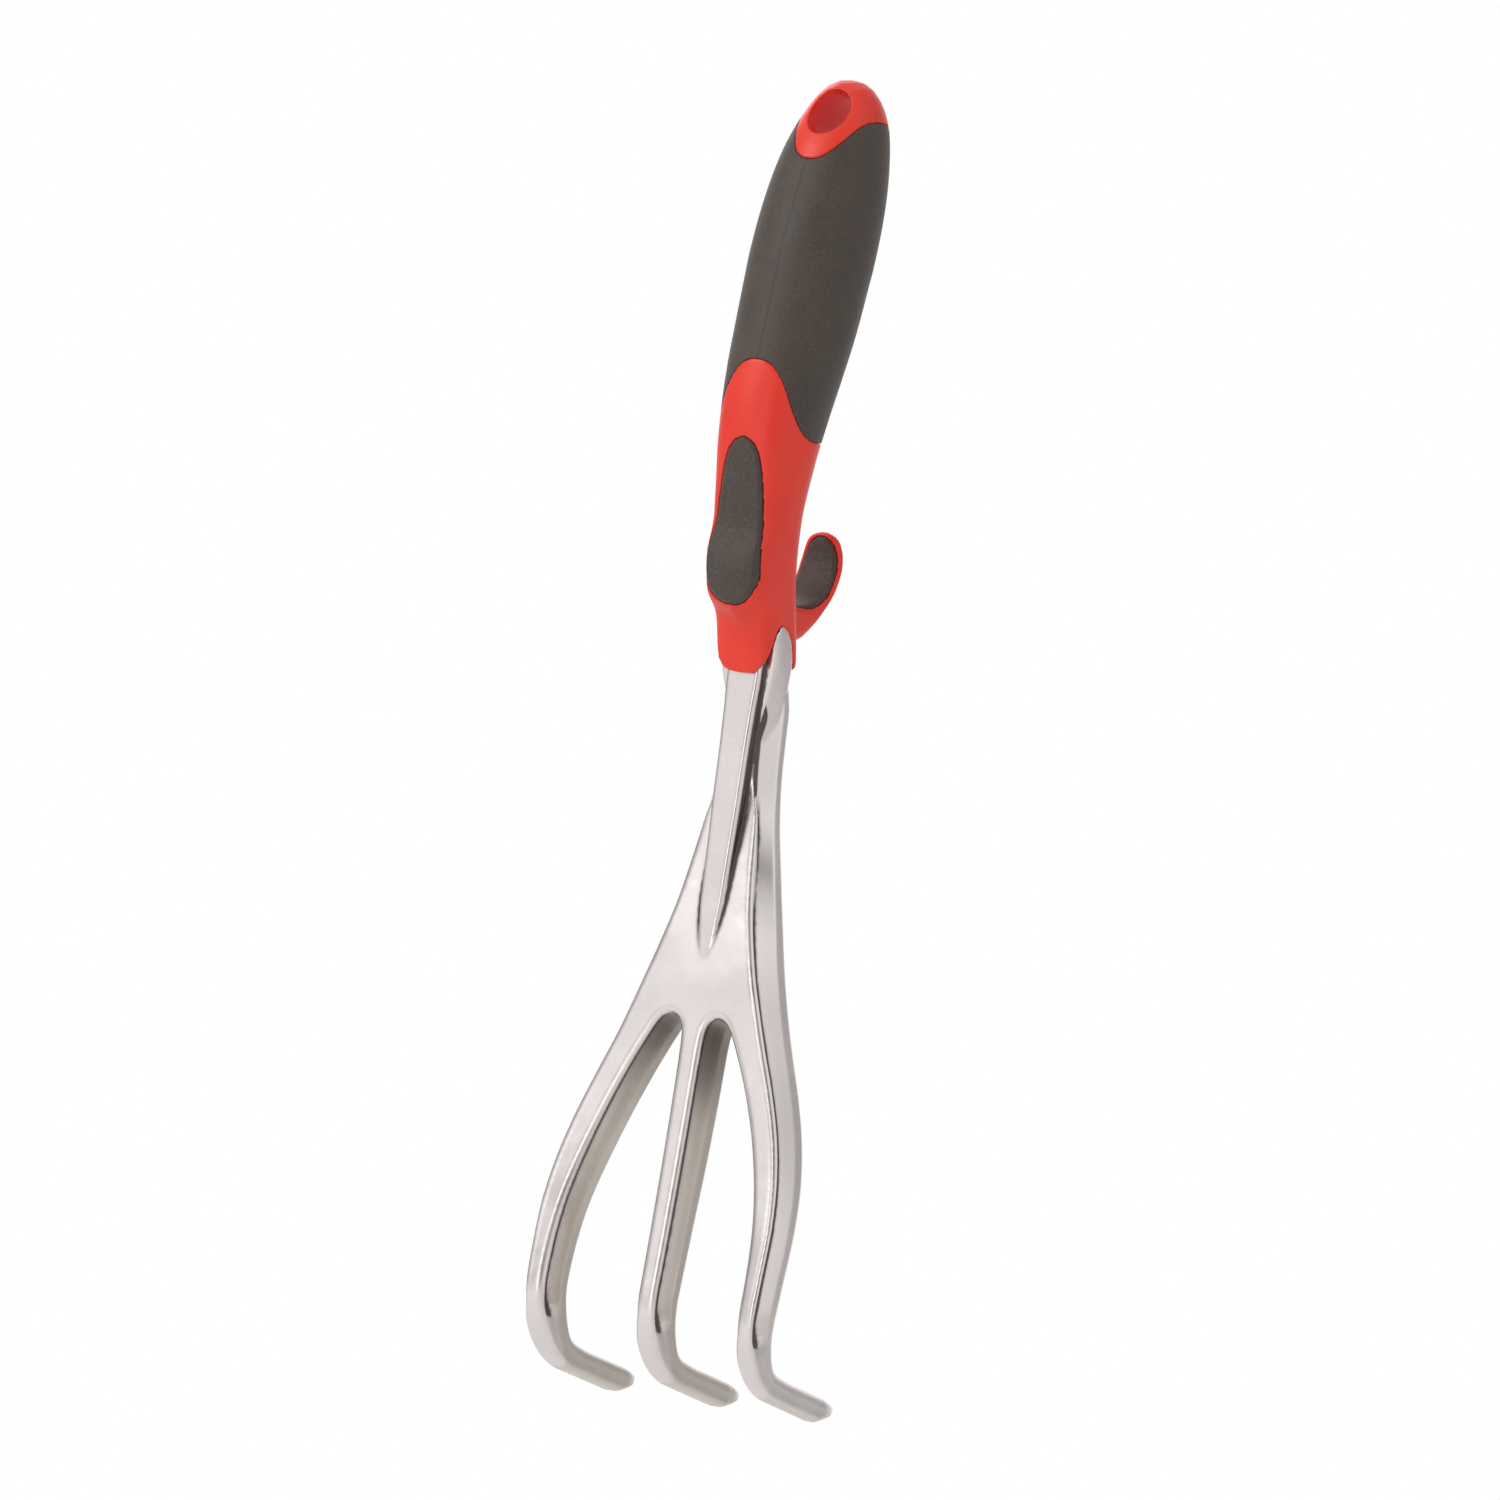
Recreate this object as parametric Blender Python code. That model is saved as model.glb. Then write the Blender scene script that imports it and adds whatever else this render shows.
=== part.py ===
"""Hand cultivator: a three-tined cast aluminium head with a two-colour moulded handle.

Lengths are in millimetres and become metres where a mesh is made. +Z points along the shank to the
end of the handle, -Y is the thumb side, and the origin is inside the hang hole. Places along
the head are given by their travel, the distance along its front face measured down from the origin.
"""

import math

import bmesh
import bpy
import numpy as np
from mathutils.geometry import delaunay_2d_cdt

MM = 0.001
GAP = 0.3

# Handle: height, centre in Y, half width, half depth, squareness of the section.
HANDLE_STATIONS = (
    (-40.0, -6.2, 16.7, 17.0, 2.0),
    (-58.0, -9.4, 16.1, 16.5, 2.0),
    (-70.0, -12.0, 15.2, 15.8, 2.05),
    (-82.0, -14.2, 13.9, 14.7, 2.15),
    (-94.0, -15.4, 12.5, 13.2, 2.3),
    (-104.0, -15.5, 11.3, 11.5, 2.6),
    (-113.0, -14.5, 10.4, 10.2, 3.0),
    (-124.0, -12.2, 9.7, 9.7, 3.2),
    (-136.0, -8.6, 9.3, 9.4, 3.8),
    (-148.0, -5.4, 9.1, 8.9, 4.4),
    (-156.0, -4.8, 9.0, 8.8, 4.6),
)
HANDLE_TOP = 10.5
DOME_FOOT = -40.0
DOME_CENTRE = ((10.5, 2.6), (2.0, 2.0), (-10.0, -0.5), (-22.0, -2.8), (-40.0, -6.2))
DOME_SQUARENESS = 2.3
HANG_HOLE_CENTRE = -1.2
HANG_HOLE_HALF_WIDTH = 5.8
HANG_HOLE_HALF_HEIGHT = 7.2
HANG_HOLE_TILT = 15.0
HANG_HOLE_CUT_LENGTH = 80.0
DOME_RINGS = 7
DOME_FIRST_SHARE = 0.001

# Black sleeve: its two edges dip and rise once at the front, once at the back.
SLEEVE_THICKNESS = 2.0
CAP_EDGE_SIDE = -0.2
CAP_EDGE_DIP = 12.2
CAP_EDGE_SPREAD = 41.0
CAP_EDGE_POWER = 2.4
THROAT_EDGE_BACK = -87.5
THROAT_EDGE_RISE = 20.0
THROAT_EDGE_SPREAD = 50.0
THROAT_EDGE_POWER = 2.6

# Ferrule's edge, height against degrees round from the front: a tongue at the front and the
# back, and an arch over each side of the shank.
SKIRT_FOOT = -151.0
SKIRT_EDGE = (
    (0.0, -151.0), (20.0, -150.8), (32.0, -149.8), (42.0, -147.6), (51.0, -144.0), (60.0, -140.2),
    (70.0, -137.5), (83.0, -136.2), (99.0, -137.2), (110.0, -140.0), (117.0, -143.4), (125.0, -146.2),
    (138.0, -148.2), (160.0, -148.8), (180.0, -148.8),
)
ARCH_GAP = 0.6

# Collar of the head that fills the arches: how far it lies under the handle's skin.
COLLAR_FOOT = -174.0
COLLAR_TAPER_TOP = -145.0
COLLAR_INSET = (
    (0.0, 5.0), (30.0, 6.0), (40.0, 6.0), (47.0, 5.0), (52.0, 3.0), (57.0, 1.3), (65.0, 0.4), (83.0, 0.1),
    (110.0, 0.1), (125.0, 0.8), (140.0, 1.75), (180.0, 1.75),
)
# How much further in its foot lies.
COLLAR_TAPER = (
    (0.0, 1.0), (30.0, 1.5), (47.0, 3.0), (52.0, 4.4), (60.0, 5.4), (70.0, 5.0), (83.0, 4.4), (90.0, 3.7),
    (100.0, 2.8), (110.0, 2.2), (180.0, 1.8),
)

# Thumb rest: how far it stands out of the handle, and its pad's half widths.
THUMB_REST_RISE = (
    (-104.0, 0.0), (-108.0, 0.2), (-112.0, 0.6), (-117.0, 2.4), (-121.5, 4.8), (-125.0, 5.8), (-129.0, 5.9),
    (-131.5, 5.7), (-133.6, 5.0), (-135.2, 3.6), (-136.8, 1.8), (-138.8, 0.6), (-141.0, 0.1), (-146.0, 0.0),
)
THUMB_REST_FLAT = 40.0
THUMB_REST_SPREAD = 84.0
THUMB_REST_CURL = 0.055
THUMB_PAD_HALF_WIDTH = (
    (-88.6, 0.0), (-89.4, 2.2), (-92.0, 4.3), (-100.0, 6.0), (-112.0, 7.0), (-117.0, 7.6), (-122.0, 8.0),
    (-126.0, 7.8), (-129.5, 6.6), (-131.8, 4.6), (-133.0, 2.4), (-133.5, 0.0),
)
THUMB_PAD_THICKNESS = 1.8
THUMB_PAD_ROUNDING = (0.9, 0.6)
THUMB_PAD_EDGE_STEP = 3.0
THUMB_PAD_GRID_STEP = 3.5
THUMB_RECESS_REACH = 4.0

# Finger hook: an arc behind the handle that thickens down to its root.
HOOK_CENTRE = (6.2, -117.0)
HOOK_INNER_RADIUS = 14.5
HOOK_HALF_WIDTH = ((24.0, 4.2), (14.0, 5.1), (2.0, 6.1), (-14.0, 6.6), (-40.0, 6.8), (-122.0, 6.5))
HOOK_THICKNESS = (
    (24.0, 2.6), (0.0, 3.0), (-30.0, 2.9), (-50.0, 3.4), (-75.0, 6.4), (-95.0, 10.4), (-122.0, 12.0),
)
HOOK_TIP_RINGS = ((24.0, 0.12), (23.2, 0.45), (20.9, 0.75), (17.5, 0.93), (13.5, 1.0))
HOOK_ROOT_ANGLE = -122.0
HOOK_FIRST_FULL_ANGLE = 5.5
HOOK_RINGS = 16
HOOK_SIDES = 20
HOOK_SQUARENESS = 3
HOOK_THINNEST_SHARE = 0.45
FINGER_PAD_HALF_WIDTH = (
    (-84.0, 0.0), (-82.0, 2.6), (-70.0, 4.8), (-45.0, 5.6), (-14.0, 5.3), (4.0, 4.4), (14.0, 3.2),
    (19.0, 1.8), (21.5, 0.0),
)
FINGER_PAD_THICKNESS = 1.2
FINGER_PAD_ROUNDING = (0.7, 0.5)
FINGER_PAD_EDGE_STEP = 2.6
FINGER_PAD_GRID_STEP = 3.0
FINGER_RECESS_REACH = 3.0
PAD_PROUD = 0.3

# Head: the front face's line, its bend, and the tips.
FRONT_Y = -12.0
LEAN_START = 215.0
BEND_START = 317.5
LEAN_ANGLE = 5.3
BEND_RADIUS = 24.0
BEND_ANGLE = 85.7
OUTER_TINE_SPLAY = 3.5
SPLAY_START = 250.0
TINE_CENTRE = 33.4
OUTER_TIP_X = 31.2
TIP_START = 379.0
TIP_LENGTH = 11.0
TIP_HALF_WIDTH = 3.2
TIP_BEVEL_FRONT = 4.4
TIP_BEVEL_BACK = 1.0
TIP_EDGE_POINTS = 7
TIP_BLUNTNESS = 0.75

# Outer edge of the palm and outer tine: half width against travel.
OUTER_EDGE = (
    (7.2, 144.0), (7.6, 150.0), (8.3, 158.0), (8.6, 167.0), (9.2, 178.0), (10.7, 190.0),
    (12.8, 202.0), (14.9, 214.0), (17.2, 226.0), (20.3, 238.0), (24.1, 250.0), (28.5, 262.0),
    (32.4, 274.0), (35.2, 286.0), (36.6, 298.0), (36.7, 310.0), (36.4, 322.0), (35.7, 336.0),
    (35.0, 352.0), (34.6, 368.0), (34.4, 379.0),
)
INNER_EDGE = (
    (28.0, 379.0), (28.3, 368.0), (28.6, 352.0), (29.0, 336.0), (29.4, 322.0), (29.3, 310.0),
    (28.3, 298.0), (25.9, 286.0), (22.1, 273.0), (17.7, 261.5), (13.8, 253.0), (11.0, 247.6),
    (9.3, 245.4), (7.4, 244.5), (5.6, 245.2), (4.5, 247.6), (4.1, 252.0), (4.0, 262.0), (3.7, 310.0),
    (3.4, 379.0),
)

# Depth of the section against travel, and how deep its front face lies under the front line.
DEPTH = (
    (144.0, 13.2), (151.0, 13.6), (162.0, 15.4), (172.0, 15.2), (190.0, 14.8), (205.0, 15.2),
    (225.0, 16.0), (262.0, 15.8), (280.0, 15.2), (298.0, 14.0), (310.0, 13.5), (322.0, 13.1), (330.0, 12.3),
    (338.0, 10.8), (349.0, 8.0), (362.0, 7.0), (380.0, 7.0),
)
PALM_FRONT = (
    (144.0, 5.2), (180.0, 5.2), (190.0, 4.3), (211.0, 1.9), (226.0, 0.5), (236.0, 0.0), (400.0, 0.0),
)
FRONT_PLATE_INSET = (
    (144.0, 0.2), (157.0, 4.2), (178.0, 4.2), (190.0, 2.6), (211.0, 3.0), (226.0, 2.2), (240.0, 1.5),
    (260.0, 1.0), (275.0, 0.8), (400.0, 0.8),
)
TINE_PLATE_INSET = 0.8
HEAD_TOP = 144.0
TOP_TAPER = 8.0
CHANNEL_DEPTH = 1.6
CHANNEL_TOP = (178.0, 205.0)
CHANNEL_END = (325.0, 334.0)

# Rib along the front of the shank: half width against travel.
RIB_DEPTH = 9.0
RIB_SINK = 0.4
RIB_SINK_TRAVEL = (212.0, 233.0)
RIB_ROUNDED_HALF_WIDTH = 3.6
RIB_LEAST_ROUNDING = 0.08
RIB_HALF_WIDTH = (
    (143.0, 0.0), (144.0, 2.6), (146.5, 4.6), (151.0, 5.2), (160.0, 4.8), (170.0, 4.5), (185.0, 4.3),
    (200.0, 3.9), (212.0, 3.6), (223.0, 2.4), (230.0, 1.0), (233.0, 0.0),
)
# The rib's edge, from front to back: inset and depth.
RIB_LAYERS = ((1.1, 0.0), (0.3, 0.35), (0.0, 1.2), (0.0, 3.4), (0.9, 5.2), (0.9, RIB_DEPTH))

# Socket for the shank: top, centre in Y, half width, half depth, squareness.
SHANK_SOCKET = (-142.5, -5.15, 7.8, 7.3, 12.0)
SHANK_SOCKET_LENGTH = 20.0

# Tang: height, centre in Y, half width, half depth.
TANG_STATIONS = (
    (-158.0, -2.6, 5.4, 4.8), (-151.0, -4.9, 6.3, 5.7), (-146.0, -5.8, 6.4, 6.0), (-140.0, -6.9, 6.4, 5.9),
    (-133.0, -8.8, 6.4, 5.5), (-124.0, -11.2, 6.2, 4.8), (-112.0, -13.4, 5.6, 4.2),
    (-95.0, -14.8, 5.4, 4.0), (-70.0, -12.0, 5.0, 3.6), (-48.0, -8.4, 4.2, 3.0),
)
LOCK_HOLE_HEIGHTS = (-66.0, -88.0)
LOCK_HOLE_RADIUS = 2.6
LOCK_ROD_LENGTH = 24.0
TANG_SQUARENESS = 4.0
TANG_RINGS = 14

OUTLINE_STEP = 5.0
AROUND = 36
COLLAR_RINGS = 8
WAIST_RINGS = 11
THROAT_RINGS = 15
SLEEVE_RINGS = 12
OUTLINE_SAMPLES = 60
LOFT_SIDES = 24
ROD_SIDES = 24


def curve(stations, at):
    """Smooth curve through (place, value) stations, without overshoot, at one place or many."""
    table = np.array(sorted(stations))
    xs, ys = table[:, 0], table[:, 1]
    slopes = np.diff(ys) / np.diff(xs)
    tangents = np.zeros(len(xs))
    inner = slopes[:-1] * slopes[1:] > 0
    tangents[1:-1][inner] = 2 / (1 / slopes[:-1][inner] + 1 / slopes[1:][inner])
    tangents[0], tangents[-1] = slopes[0], slopes[-1]
    at = np.clip(np.asarray(at, float), xs[0], xs[-1])
    k = np.clip(np.searchsorted(xs, at, side="right") - 1, 0, len(xs) - 2)
    width = xs[k + 1] - xs[k]
    u = (at - xs[k]) / width
    return (
        ys[k] * (1 + 2 * u) * (1 - u) ** 2
        + tangents[k] * width * u * (1 - u) ** 2
        + ys[k + 1] * u * u * (3 - 2 * u)
        - tangents[k + 1] * width * u * u * (1 - u)
    )


def smooth_step(start, end, at):
    """0 before start, 1 after end, smooth between them."""
    u = np.clip((np.asarray(at, float) - start) / (end - start), 0, 1)
    return u * u * (3 - 2 * u)


def material(name, colour, roughness, metallic=0.0):
    made = bpy.data.materials.new(name)
    made.use_nodes = True
    shader = made.node_tree.nodes["Principled BSDF"]
    shader.inputs["Base Color"].default_value = (*colour, 1)
    shader.inputs["Roughness"].default_value = roughness
    shader.inputs["Metallic"].default_value = metallic
    return made


def mesh_object(name, points, faces, finish=None):
    """A closed object from points in millimetres, with its faces turned outwards."""
    made = bmesh.new()
    verts = [made.verts.new([c * MM for c in point]) for point in points]
    for face in faces:
        made.faces.new([verts[k] for k in face])
    bmesh.ops.recalc_face_normals(made, faces=made.faces)
    mesh = bpy.data.meshes.new(name)
    made.to_mesh(mesh)
    made.free()
    mesh.shade_smooth()
    mesh.set_sharp_from_angle(angle=math.radians(40))
    if finish:
        mesh.materials.append(finish)
    obj = bpy.data.objects.new(name, mesh)
    bpy.context.collection.objects.link(obj)
    return obj


def combine(obj, other, operation):
    """Applies a Boolean of obj with other, which is then removed."""
    cut = obj.modifiers.new("Combine", "BOOLEAN")
    cut.operation = operation
    cut.solver = "EXACT"
    cut.object = other
    graph = bpy.context.evaluated_depsgraph_get()
    mesh = bpy.data.meshes.new_from_object(obj.evaluated_get(graph))
    obj.modifiers.clear()
    obj.data = mesh
    bpy.data.objects.remove(other)


def tube_of_rings(rings, first_pole=None, last_pole=None, loop=False):
    """Points and faces of rings joined in order, closed by poles, by flat ends or into a loop."""
    count = len(rings[0])
    points = [point for ring in rings for point in ring]
    faces = []
    pairs = [(k, k + 1) for k in range(len(rings) - 1)]
    if loop:
        pairs.append((len(rings) - 1, 0))
    for a, b in pairs:
        for k in range(count):
            after = (k + 1) % count
            faces.append((a * count + k, a * count + after, b * count + after, b * count + k))
    for pole, start in ((first_pole, 0), (last_pole, (len(rings) - 1) * count)):
        if loop:
            continue
        if pole is None:
            faces.append(tuple(range(start, start + count)))
            continue
        points.append(pole)
        faces += [(start + k, start + (k + 1) % count, len(points) - 1) for k in range(count)]
    return points, faces


def smooth_path(points, step):
    """An even polyline about one step apart on a smooth curve through the points."""
    points = np.asarray(points, float)
    before = np.concatenate([[2 * points[0] - points[1]], points])
    after = np.concatenate([points[2:], [2 * points[-1] - points[-2]]])
    dense = [points[:1]]
    share = np.linspace(0, 1, 9)[1:, None]
    for k in range(len(points) - 1):
        p0, p1, p2, p3 = before[k], points[k], points[k + 1], after[k]
        bend = 2 * p0 - 5 * p1 + 4 * p2 - p3
        twist = 3 * p1 - p0 - 3 * p2 + p3
        dense.append(p1 + 0.5 * share * (p2 - p0 + share * (bend + share * twist)))
    return resampled(np.concatenate(dense), step)


def resampled(points, step):
    """The polyline's points spread evenly, about one step apart."""
    points = np.asarray(points, float)
    along = np.concatenate([[0], np.cumsum(np.hypot(*np.diff(points, axis=0).T))])
    places = np.linspace(0, along[-1], max(2, round(along[-1] / step) + 1))
    return np.stack([np.interp(places, along, points[:, k]) for k in (0, 1)], axis=1)


def inward_normals(outline):
    """Unit vectors pointing into a closed outline that runs anticlockwise."""
    along = np.roll(outline, -1, axis=0) - np.roll(outline, 1, axis=0)
    along /= np.hypot(*along.T)[:, None]
    return np.stack([-along[:, 1], along[:, 0]], axis=1)


def inside(points, outline):
    """Which points lie inside the outline."""
    x, y = points[:, :1], points[:, 1:]
    a, b = outline, np.roll(outline, -1, axis=0)
    crosses = (a[:, 1] > y) != (b[:, 1] > y)
    at = a[:, 0] + (y - a[:, 1]) * (b[:, 0] - a[:, 0]) / np.where(crosses, b[:, 1] - a[:, 1], 1)
    return (crosses & (x < at)).sum(axis=1) % 2 == 1


def cap_grid(border, spacing):
    """Border points, then a grid of inner points clear of it, and the triangles that join them."""
    low, high = border.min(axis=0), border.max(axis=0)
    xs, ys = (np.arange(low[k] + spacing / 2, high[k], spacing) for k in (0, 1))
    grid = np.array([(x, y) for y in ys for x in xs]).reshape(-1, 2)
    grid = grid[inside(grid, border)]
    away = np.array([np.hypot(*(border - point).T).min() for point in grid])
    grid = grid[away > 0.6 * spacing] if len(grid) else grid
    points = np.concatenate([border, grid])
    loop = [(k, (k + 1) % len(border)) for k in range(len(border))]
    found = delaunay_2d_cdt([tuple(p) for p in points], loop, [], 1, 1e-6)
    return points, [tuple(found[3][k][0] for k in face) for face in found[2]]


def layered_plate(outline, layers, place, front, back, spacing):
    """Closed shape whose edge follows layers of (inset, level), with a front and a back surface."""
    normals = inward_normals(outline)
    rings = [outline + normals * np.reshape(inset, (-1, 1)) for inset, _ in layers]
    points = [tuple(p) for ring, (_, level) in zip(rings, layers) for p in place(ring, level)]
    count = len(outline)
    faces = []
    for a in range(len(layers) - 1):
        for k in range(count):
            after = (k + 1) % count
            faces.append((a * count + k, a * count + after, (a + 1) * count + after, (a + 1) * count + k))
    for index, surface in ((0, front), (len(layers) - 1, back)):
        flat, triangles = cap_grid(rings[index], spacing)
        added = flat[count:]
        start = len(points) - count
        points += [tuple(p) for p in place(added, surface(added))]
        places = [index * count + k for k in range(count)] + [start + count + k for k in range(len(added))]
        faces += [tuple(places[k] for k in triangle) for triangle in triangles]
    return points, faces


def reach_at(angle, squareness):
    """How far a unit superellipse reaches from its centre, by angle."""
    return (np.abs(np.sin(angle)) ** squareness + np.abs(np.cos(angle)) ** squareness) ** (-1 / squareness)


def handle_section(height):
    """Centre in Y, half width, half depth and squareness of the handle at each height."""
    height = np.asarray(height, float)
    columns = [curve([(row[0], row[k]) for row in HANDLE_STATIONS], height) for k in (1, 2, 3, 4)]
    dome = np.clip((height - DOME_FOOT) / (HANDLE_TOP - DOME_FOOT), 0, 1)
    size = (1 - dome**DOME_SQUARENESS) ** (1 / DOME_SQUARENESS)
    centre = np.where(height > DOME_FOOT, curve(DOME_CENTRE, height), columns[0])
    return centre, columns[1] * size, columns[2] * size, columns[3]


def handle_skin(angle, height, inset=0.0):
    """Points on the handle's skin, by angle round from the thumb side and height, sunk by inset."""
    centre, half_x, half_y, square = handle_section(height)
    reach = reach_at(angle, square)
    rise = thumb_rest(angle, height)
    x = (half_x - inset) * reach * np.sin(angle)
    y = centre - (half_y - inset) * reach * np.cos(angle) - rise
    return np.stack([x, y, np.broadcast_to(height, x.shape)], axis=-1)


def thumb_rest(angle, height):
    """How far the thumb rest stands out; its foot curls up towards its sides."""
    turn = degrees_from_front(angle)
    share = 1 - smooth_step(THUMB_REST_FLAT, THUMB_REST_SPREAD, turn)
    return share * curve(THUMB_REST_RISE, height - THUMB_REST_CURL * turn)


def front_skin(flat, inset):
    """Points on the thumb side of the handle at (x, height), sunk by inset."""
    x, height = flat[:, 0], flat[:, 1]
    centre, half_x, half_y, square = handle_section(height)
    share = np.clip(np.abs(x) / half_x, 0, 0.98)
    depth = half_y * (1 - share**square) ** (1 / square)
    rise = thumb_rest(np.arctan2(x / half_x, depth / half_y), height)
    return np.stack([x, centre - depth - rise + inset, height], axis=-1)


def angles():
    return np.linspace(0, 2 * math.pi, AROUND, endpoint=False)


def edge_dip(angle, spread, power):
    """1 at the front, falling away over spread degrees."""
    return np.exp(-((degrees_from_front(angle) / spread) ** power))


def cap_edge(angle):
    both = sum(edge_dip(angle + turn, CAP_EDGE_SPREAD, CAP_EDGE_POWER) for turn in (0.0, math.pi))
    return CAP_EDGE_SIDE - CAP_EDGE_DIP * both


def throat_edge(angle):
    return THROAT_EDGE_BACK + THROAT_EDGE_RISE * edge_dip(angle, THROAT_EDGE_SPREAD, THROAT_EDGE_POWER)


def degrees_from_front(angle):
    return np.degrees(np.abs((angle + math.pi) % (2 * math.pi) - math.pi))


def skirt_edge(angle):
    return curve(SKIRT_EDGE, degrees_from_front(angle))


def bands(upper, lower, count):
    """Heights of count rings from upper to lower, which are heights for each angle."""
    return [upper + (lower - upper) * k / (count - 1) for k in range(count)]


def build_core_blank():
    """The red moulding before its recesses and sockets are cut."""
    round_ = angles()
    cap, throat, skirt = cap_edge(round_), throat_edge(round_), skirt_edge(round_)
    sunk = SLEEVE_THICKNESS + GAP
    rings = []
    for k in range(1, DOME_RINGS + 1):
        share = math.sin(k / DOME_RINGS * math.pi / 2) ** 2 * (1 - DOME_FIRST_SHARE) + DOME_FIRST_SHARE
        rings.append(handle_skin(round_, HANDLE_TOP + (cap - HANDLE_TOP) * share))
    rings += [handle_skin(round_, height, sunk) for height in bands(cap, throat, WAIST_RINGS)]
    rings += [handle_skin(round_, height) for height in bands(throat, skirt, THROAT_RINGS)]
    pole = (0.0, DOME_CENTRE[0][1], HANDLE_TOP)
    base = (0.0, handle_section(SKIRT_FOOT)[0], SKIRT_FOOT)
    return tube_of_rings(rings, first_pole=pole, last_pole=base)


def build_sleeve(finish):
    round_ = angles()
    upper, lower = cap_edge(round_) - GAP, throat_edge(round_) + GAP
    outer = [handle_skin(round_, height) for height in bands(upper, lower, SLEEVE_RINGS)]
    inner = [handle_skin(round_, height, SLEEVE_THICKNESS) for height in bands(lower, upper, SLEEVE_RINGS)]
    return mesh_object("grip_sleeve", *tube_of_rings(outer + inner, loop=True), finish)


def pad_outline(stations, step, margin=0.0):
    """Closed outline, anticlockwise, of a shape with these half widths, widened by margin."""
    heights = np.linspace(stations[0][0], stations[-1][0], OUTLINE_SAMPLES)
    right = np.stack([curve(stations, heights), heights], axis=1)
    outline = np.concatenate([right, right[::-1] * (-1, 1)])
    outline = resampled(np.concatenate([outline, outline[:1]]), step)[:-1][::-1]
    if turns_clockwise(outline):
        outline = outline[::-1]
    return outline - inward_normals(outline) * margin


def thumb_pad_shape(margin, proud, depth):
    """The thumb pad's shape, or its recess with a margin, from proud of the skin to depth."""
    outline = pad_outline(THUMB_PAD_HALF_WIDTH, THUMB_PAD_EDGE_STEP, margin)
    inset, drop = THUMB_PAD_ROUNDING
    layers = ((inset, -proud), (0.0, drop - proud), (0.0, depth))
    return layered_plate(
        outline,
        layers,
        front_skin,
        lambda flat: np.full(len(flat), -proud),
        lambda flat: np.full(len(flat), depth),
        THUMB_PAD_GRID_STEP,
    )


def hook_point(angle, radius, x):
    """A point of the finger hook: angle in degrees from straight back, up positive."""
    turn = np.radians(angle)
    y = HOOK_CENTRE[0] + radius * np.cos(turn)
    z = HOOK_CENTRE[1] + radius * np.sin(turn)
    return np.stack([x + 0 * y, y, z], axis=-1)


def hook_ring(angle, size, offset=0.0):
    """One rounded section across the hook, size 1 at full width."""
    thickness = float(curve(HOOK_THICKNESS, angle))
    round_ = np.linspace(0, 2 * math.pi, HOOK_SIDES, endpoint=False)
    reach = reach_at(round_, HOOK_SQUARENESS)
    thinning = min(1, HOOK_THINNEST_SHARE + (1 - HOOK_THINNEST_SHARE) * size)
    x = float(curve(HOOK_HALF_WIDTH, angle)) * size * reach * np.sin(round_)
    middle = HOOK_INNER_RADIUS + thickness / 2
    radius = middle + offset + thickness / 2 * reach * np.cos(round_) * thinning
    return hook_point(np.full(HOOK_SIDES, angle), radius, x)


def build_hook():
    rings = [hook_ring(angle, size) for angle, size in HOOK_TIP_RINGS]
    full = np.linspace(HOOK_FIRST_FULL_ANGLE, HOOK_ROOT_ANGLE, HOOK_RINGS)
    rings += [hook_ring(angle, 1.0) for angle in full]
    return mesh_object("hook", *tube_of_rings(rings))


def finger_pad_shape(margin, proud, depth):
    """The finger pad, laid on the hook's inner face; flat places are (x, angle in degrees)."""
    per_degree = math.radians(1) * HOOK_INNER_RADIUS
    scaled = tuple((angle * per_degree, width) for angle, width in FINGER_PAD_HALF_WIDTH)
    outline = pad_outline(scaled, FINGER_PAD_EDGE_STEP, margin)
    inset, drop = FINGER_PAD_ROUNDING
    layers = ((inset, proud), (0.0, proud - drop), (0.0, -depth))
    return layered_plate(
        outline,
        layers,
        lambda flat, level: hook_point(flat[:, 1] / per_degree, HOOK_INNER_RADIUS - level, flat[:, 0]),
        lambda flat: np.full(len(flat), proud),
        lambda flat: np.full(len(flat), -depth),
        FINGER_PAD_GRID_STEP,
    )


def front_line(travel):
    """Place (y, z) of the head's front line and its heading, as an angle forward of straight down."""
    lean = math.radians(LEAN_ANGLE)
    lean_length = BEND_START - LEAN_START
    turned = lean * np.clip(travel - LEAN_START, 0, lean_length) / lean_length
    lean_radius = lean_length / lean
    bent = np.clip((travel - BEND_START) / BEND_RADIUS, 0, math.radians(BEND_ANGLE))
    heading = turned - bent
    beyond = np.clip(travel - BEND_START - BEND_RADIUS * math.radians(BEND_ANGLE), 0, None)
    y = FRONT_Y - lean_radius * (1 - np.cos(turned)) + BEND_RADIUS * (np.cos(turned) - np.cos(heading))
    z = -np.minimum(travel, LEAN_START) - lean_radius * np.sin(turned)
    z += BEND_RADIUS * (np.sin(heading) - np.sin(turned))
    return y - np.sin(heading) * beyond, z - np.cos(heading) * beyond, heading


def head_place(flat, level):
    """Points of the head from (x, travel) and level, the depth behind the front line."""
    x, travel = flat[:, 0], flat[:, 1]
    y, z, heading = front_line(travel)
    splay = OUTER_TINE_SPLAY * (x / TINE_CENTRE) ** 2 * smooth_step(SPLAY_START, BEND_START, travel)
    return np.stack([x, y - splay + level * np.cos(heading), z - level * np.sin(heading)], axis=-1)


def tip_edge(centre, side):
    """One side of a tine's point, from its full width to the tip."""
    share = np.linspace(0, 1, TIP_EDGE_POINTS)
    half = TIP_HALF_WIDTH * np.cos(share * math.pi / 2) ** TIP_BLUNTNESS
    return np.stack([centre + side * half, TIP_START + TIP_LENGTH * share], axis=1)


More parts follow.
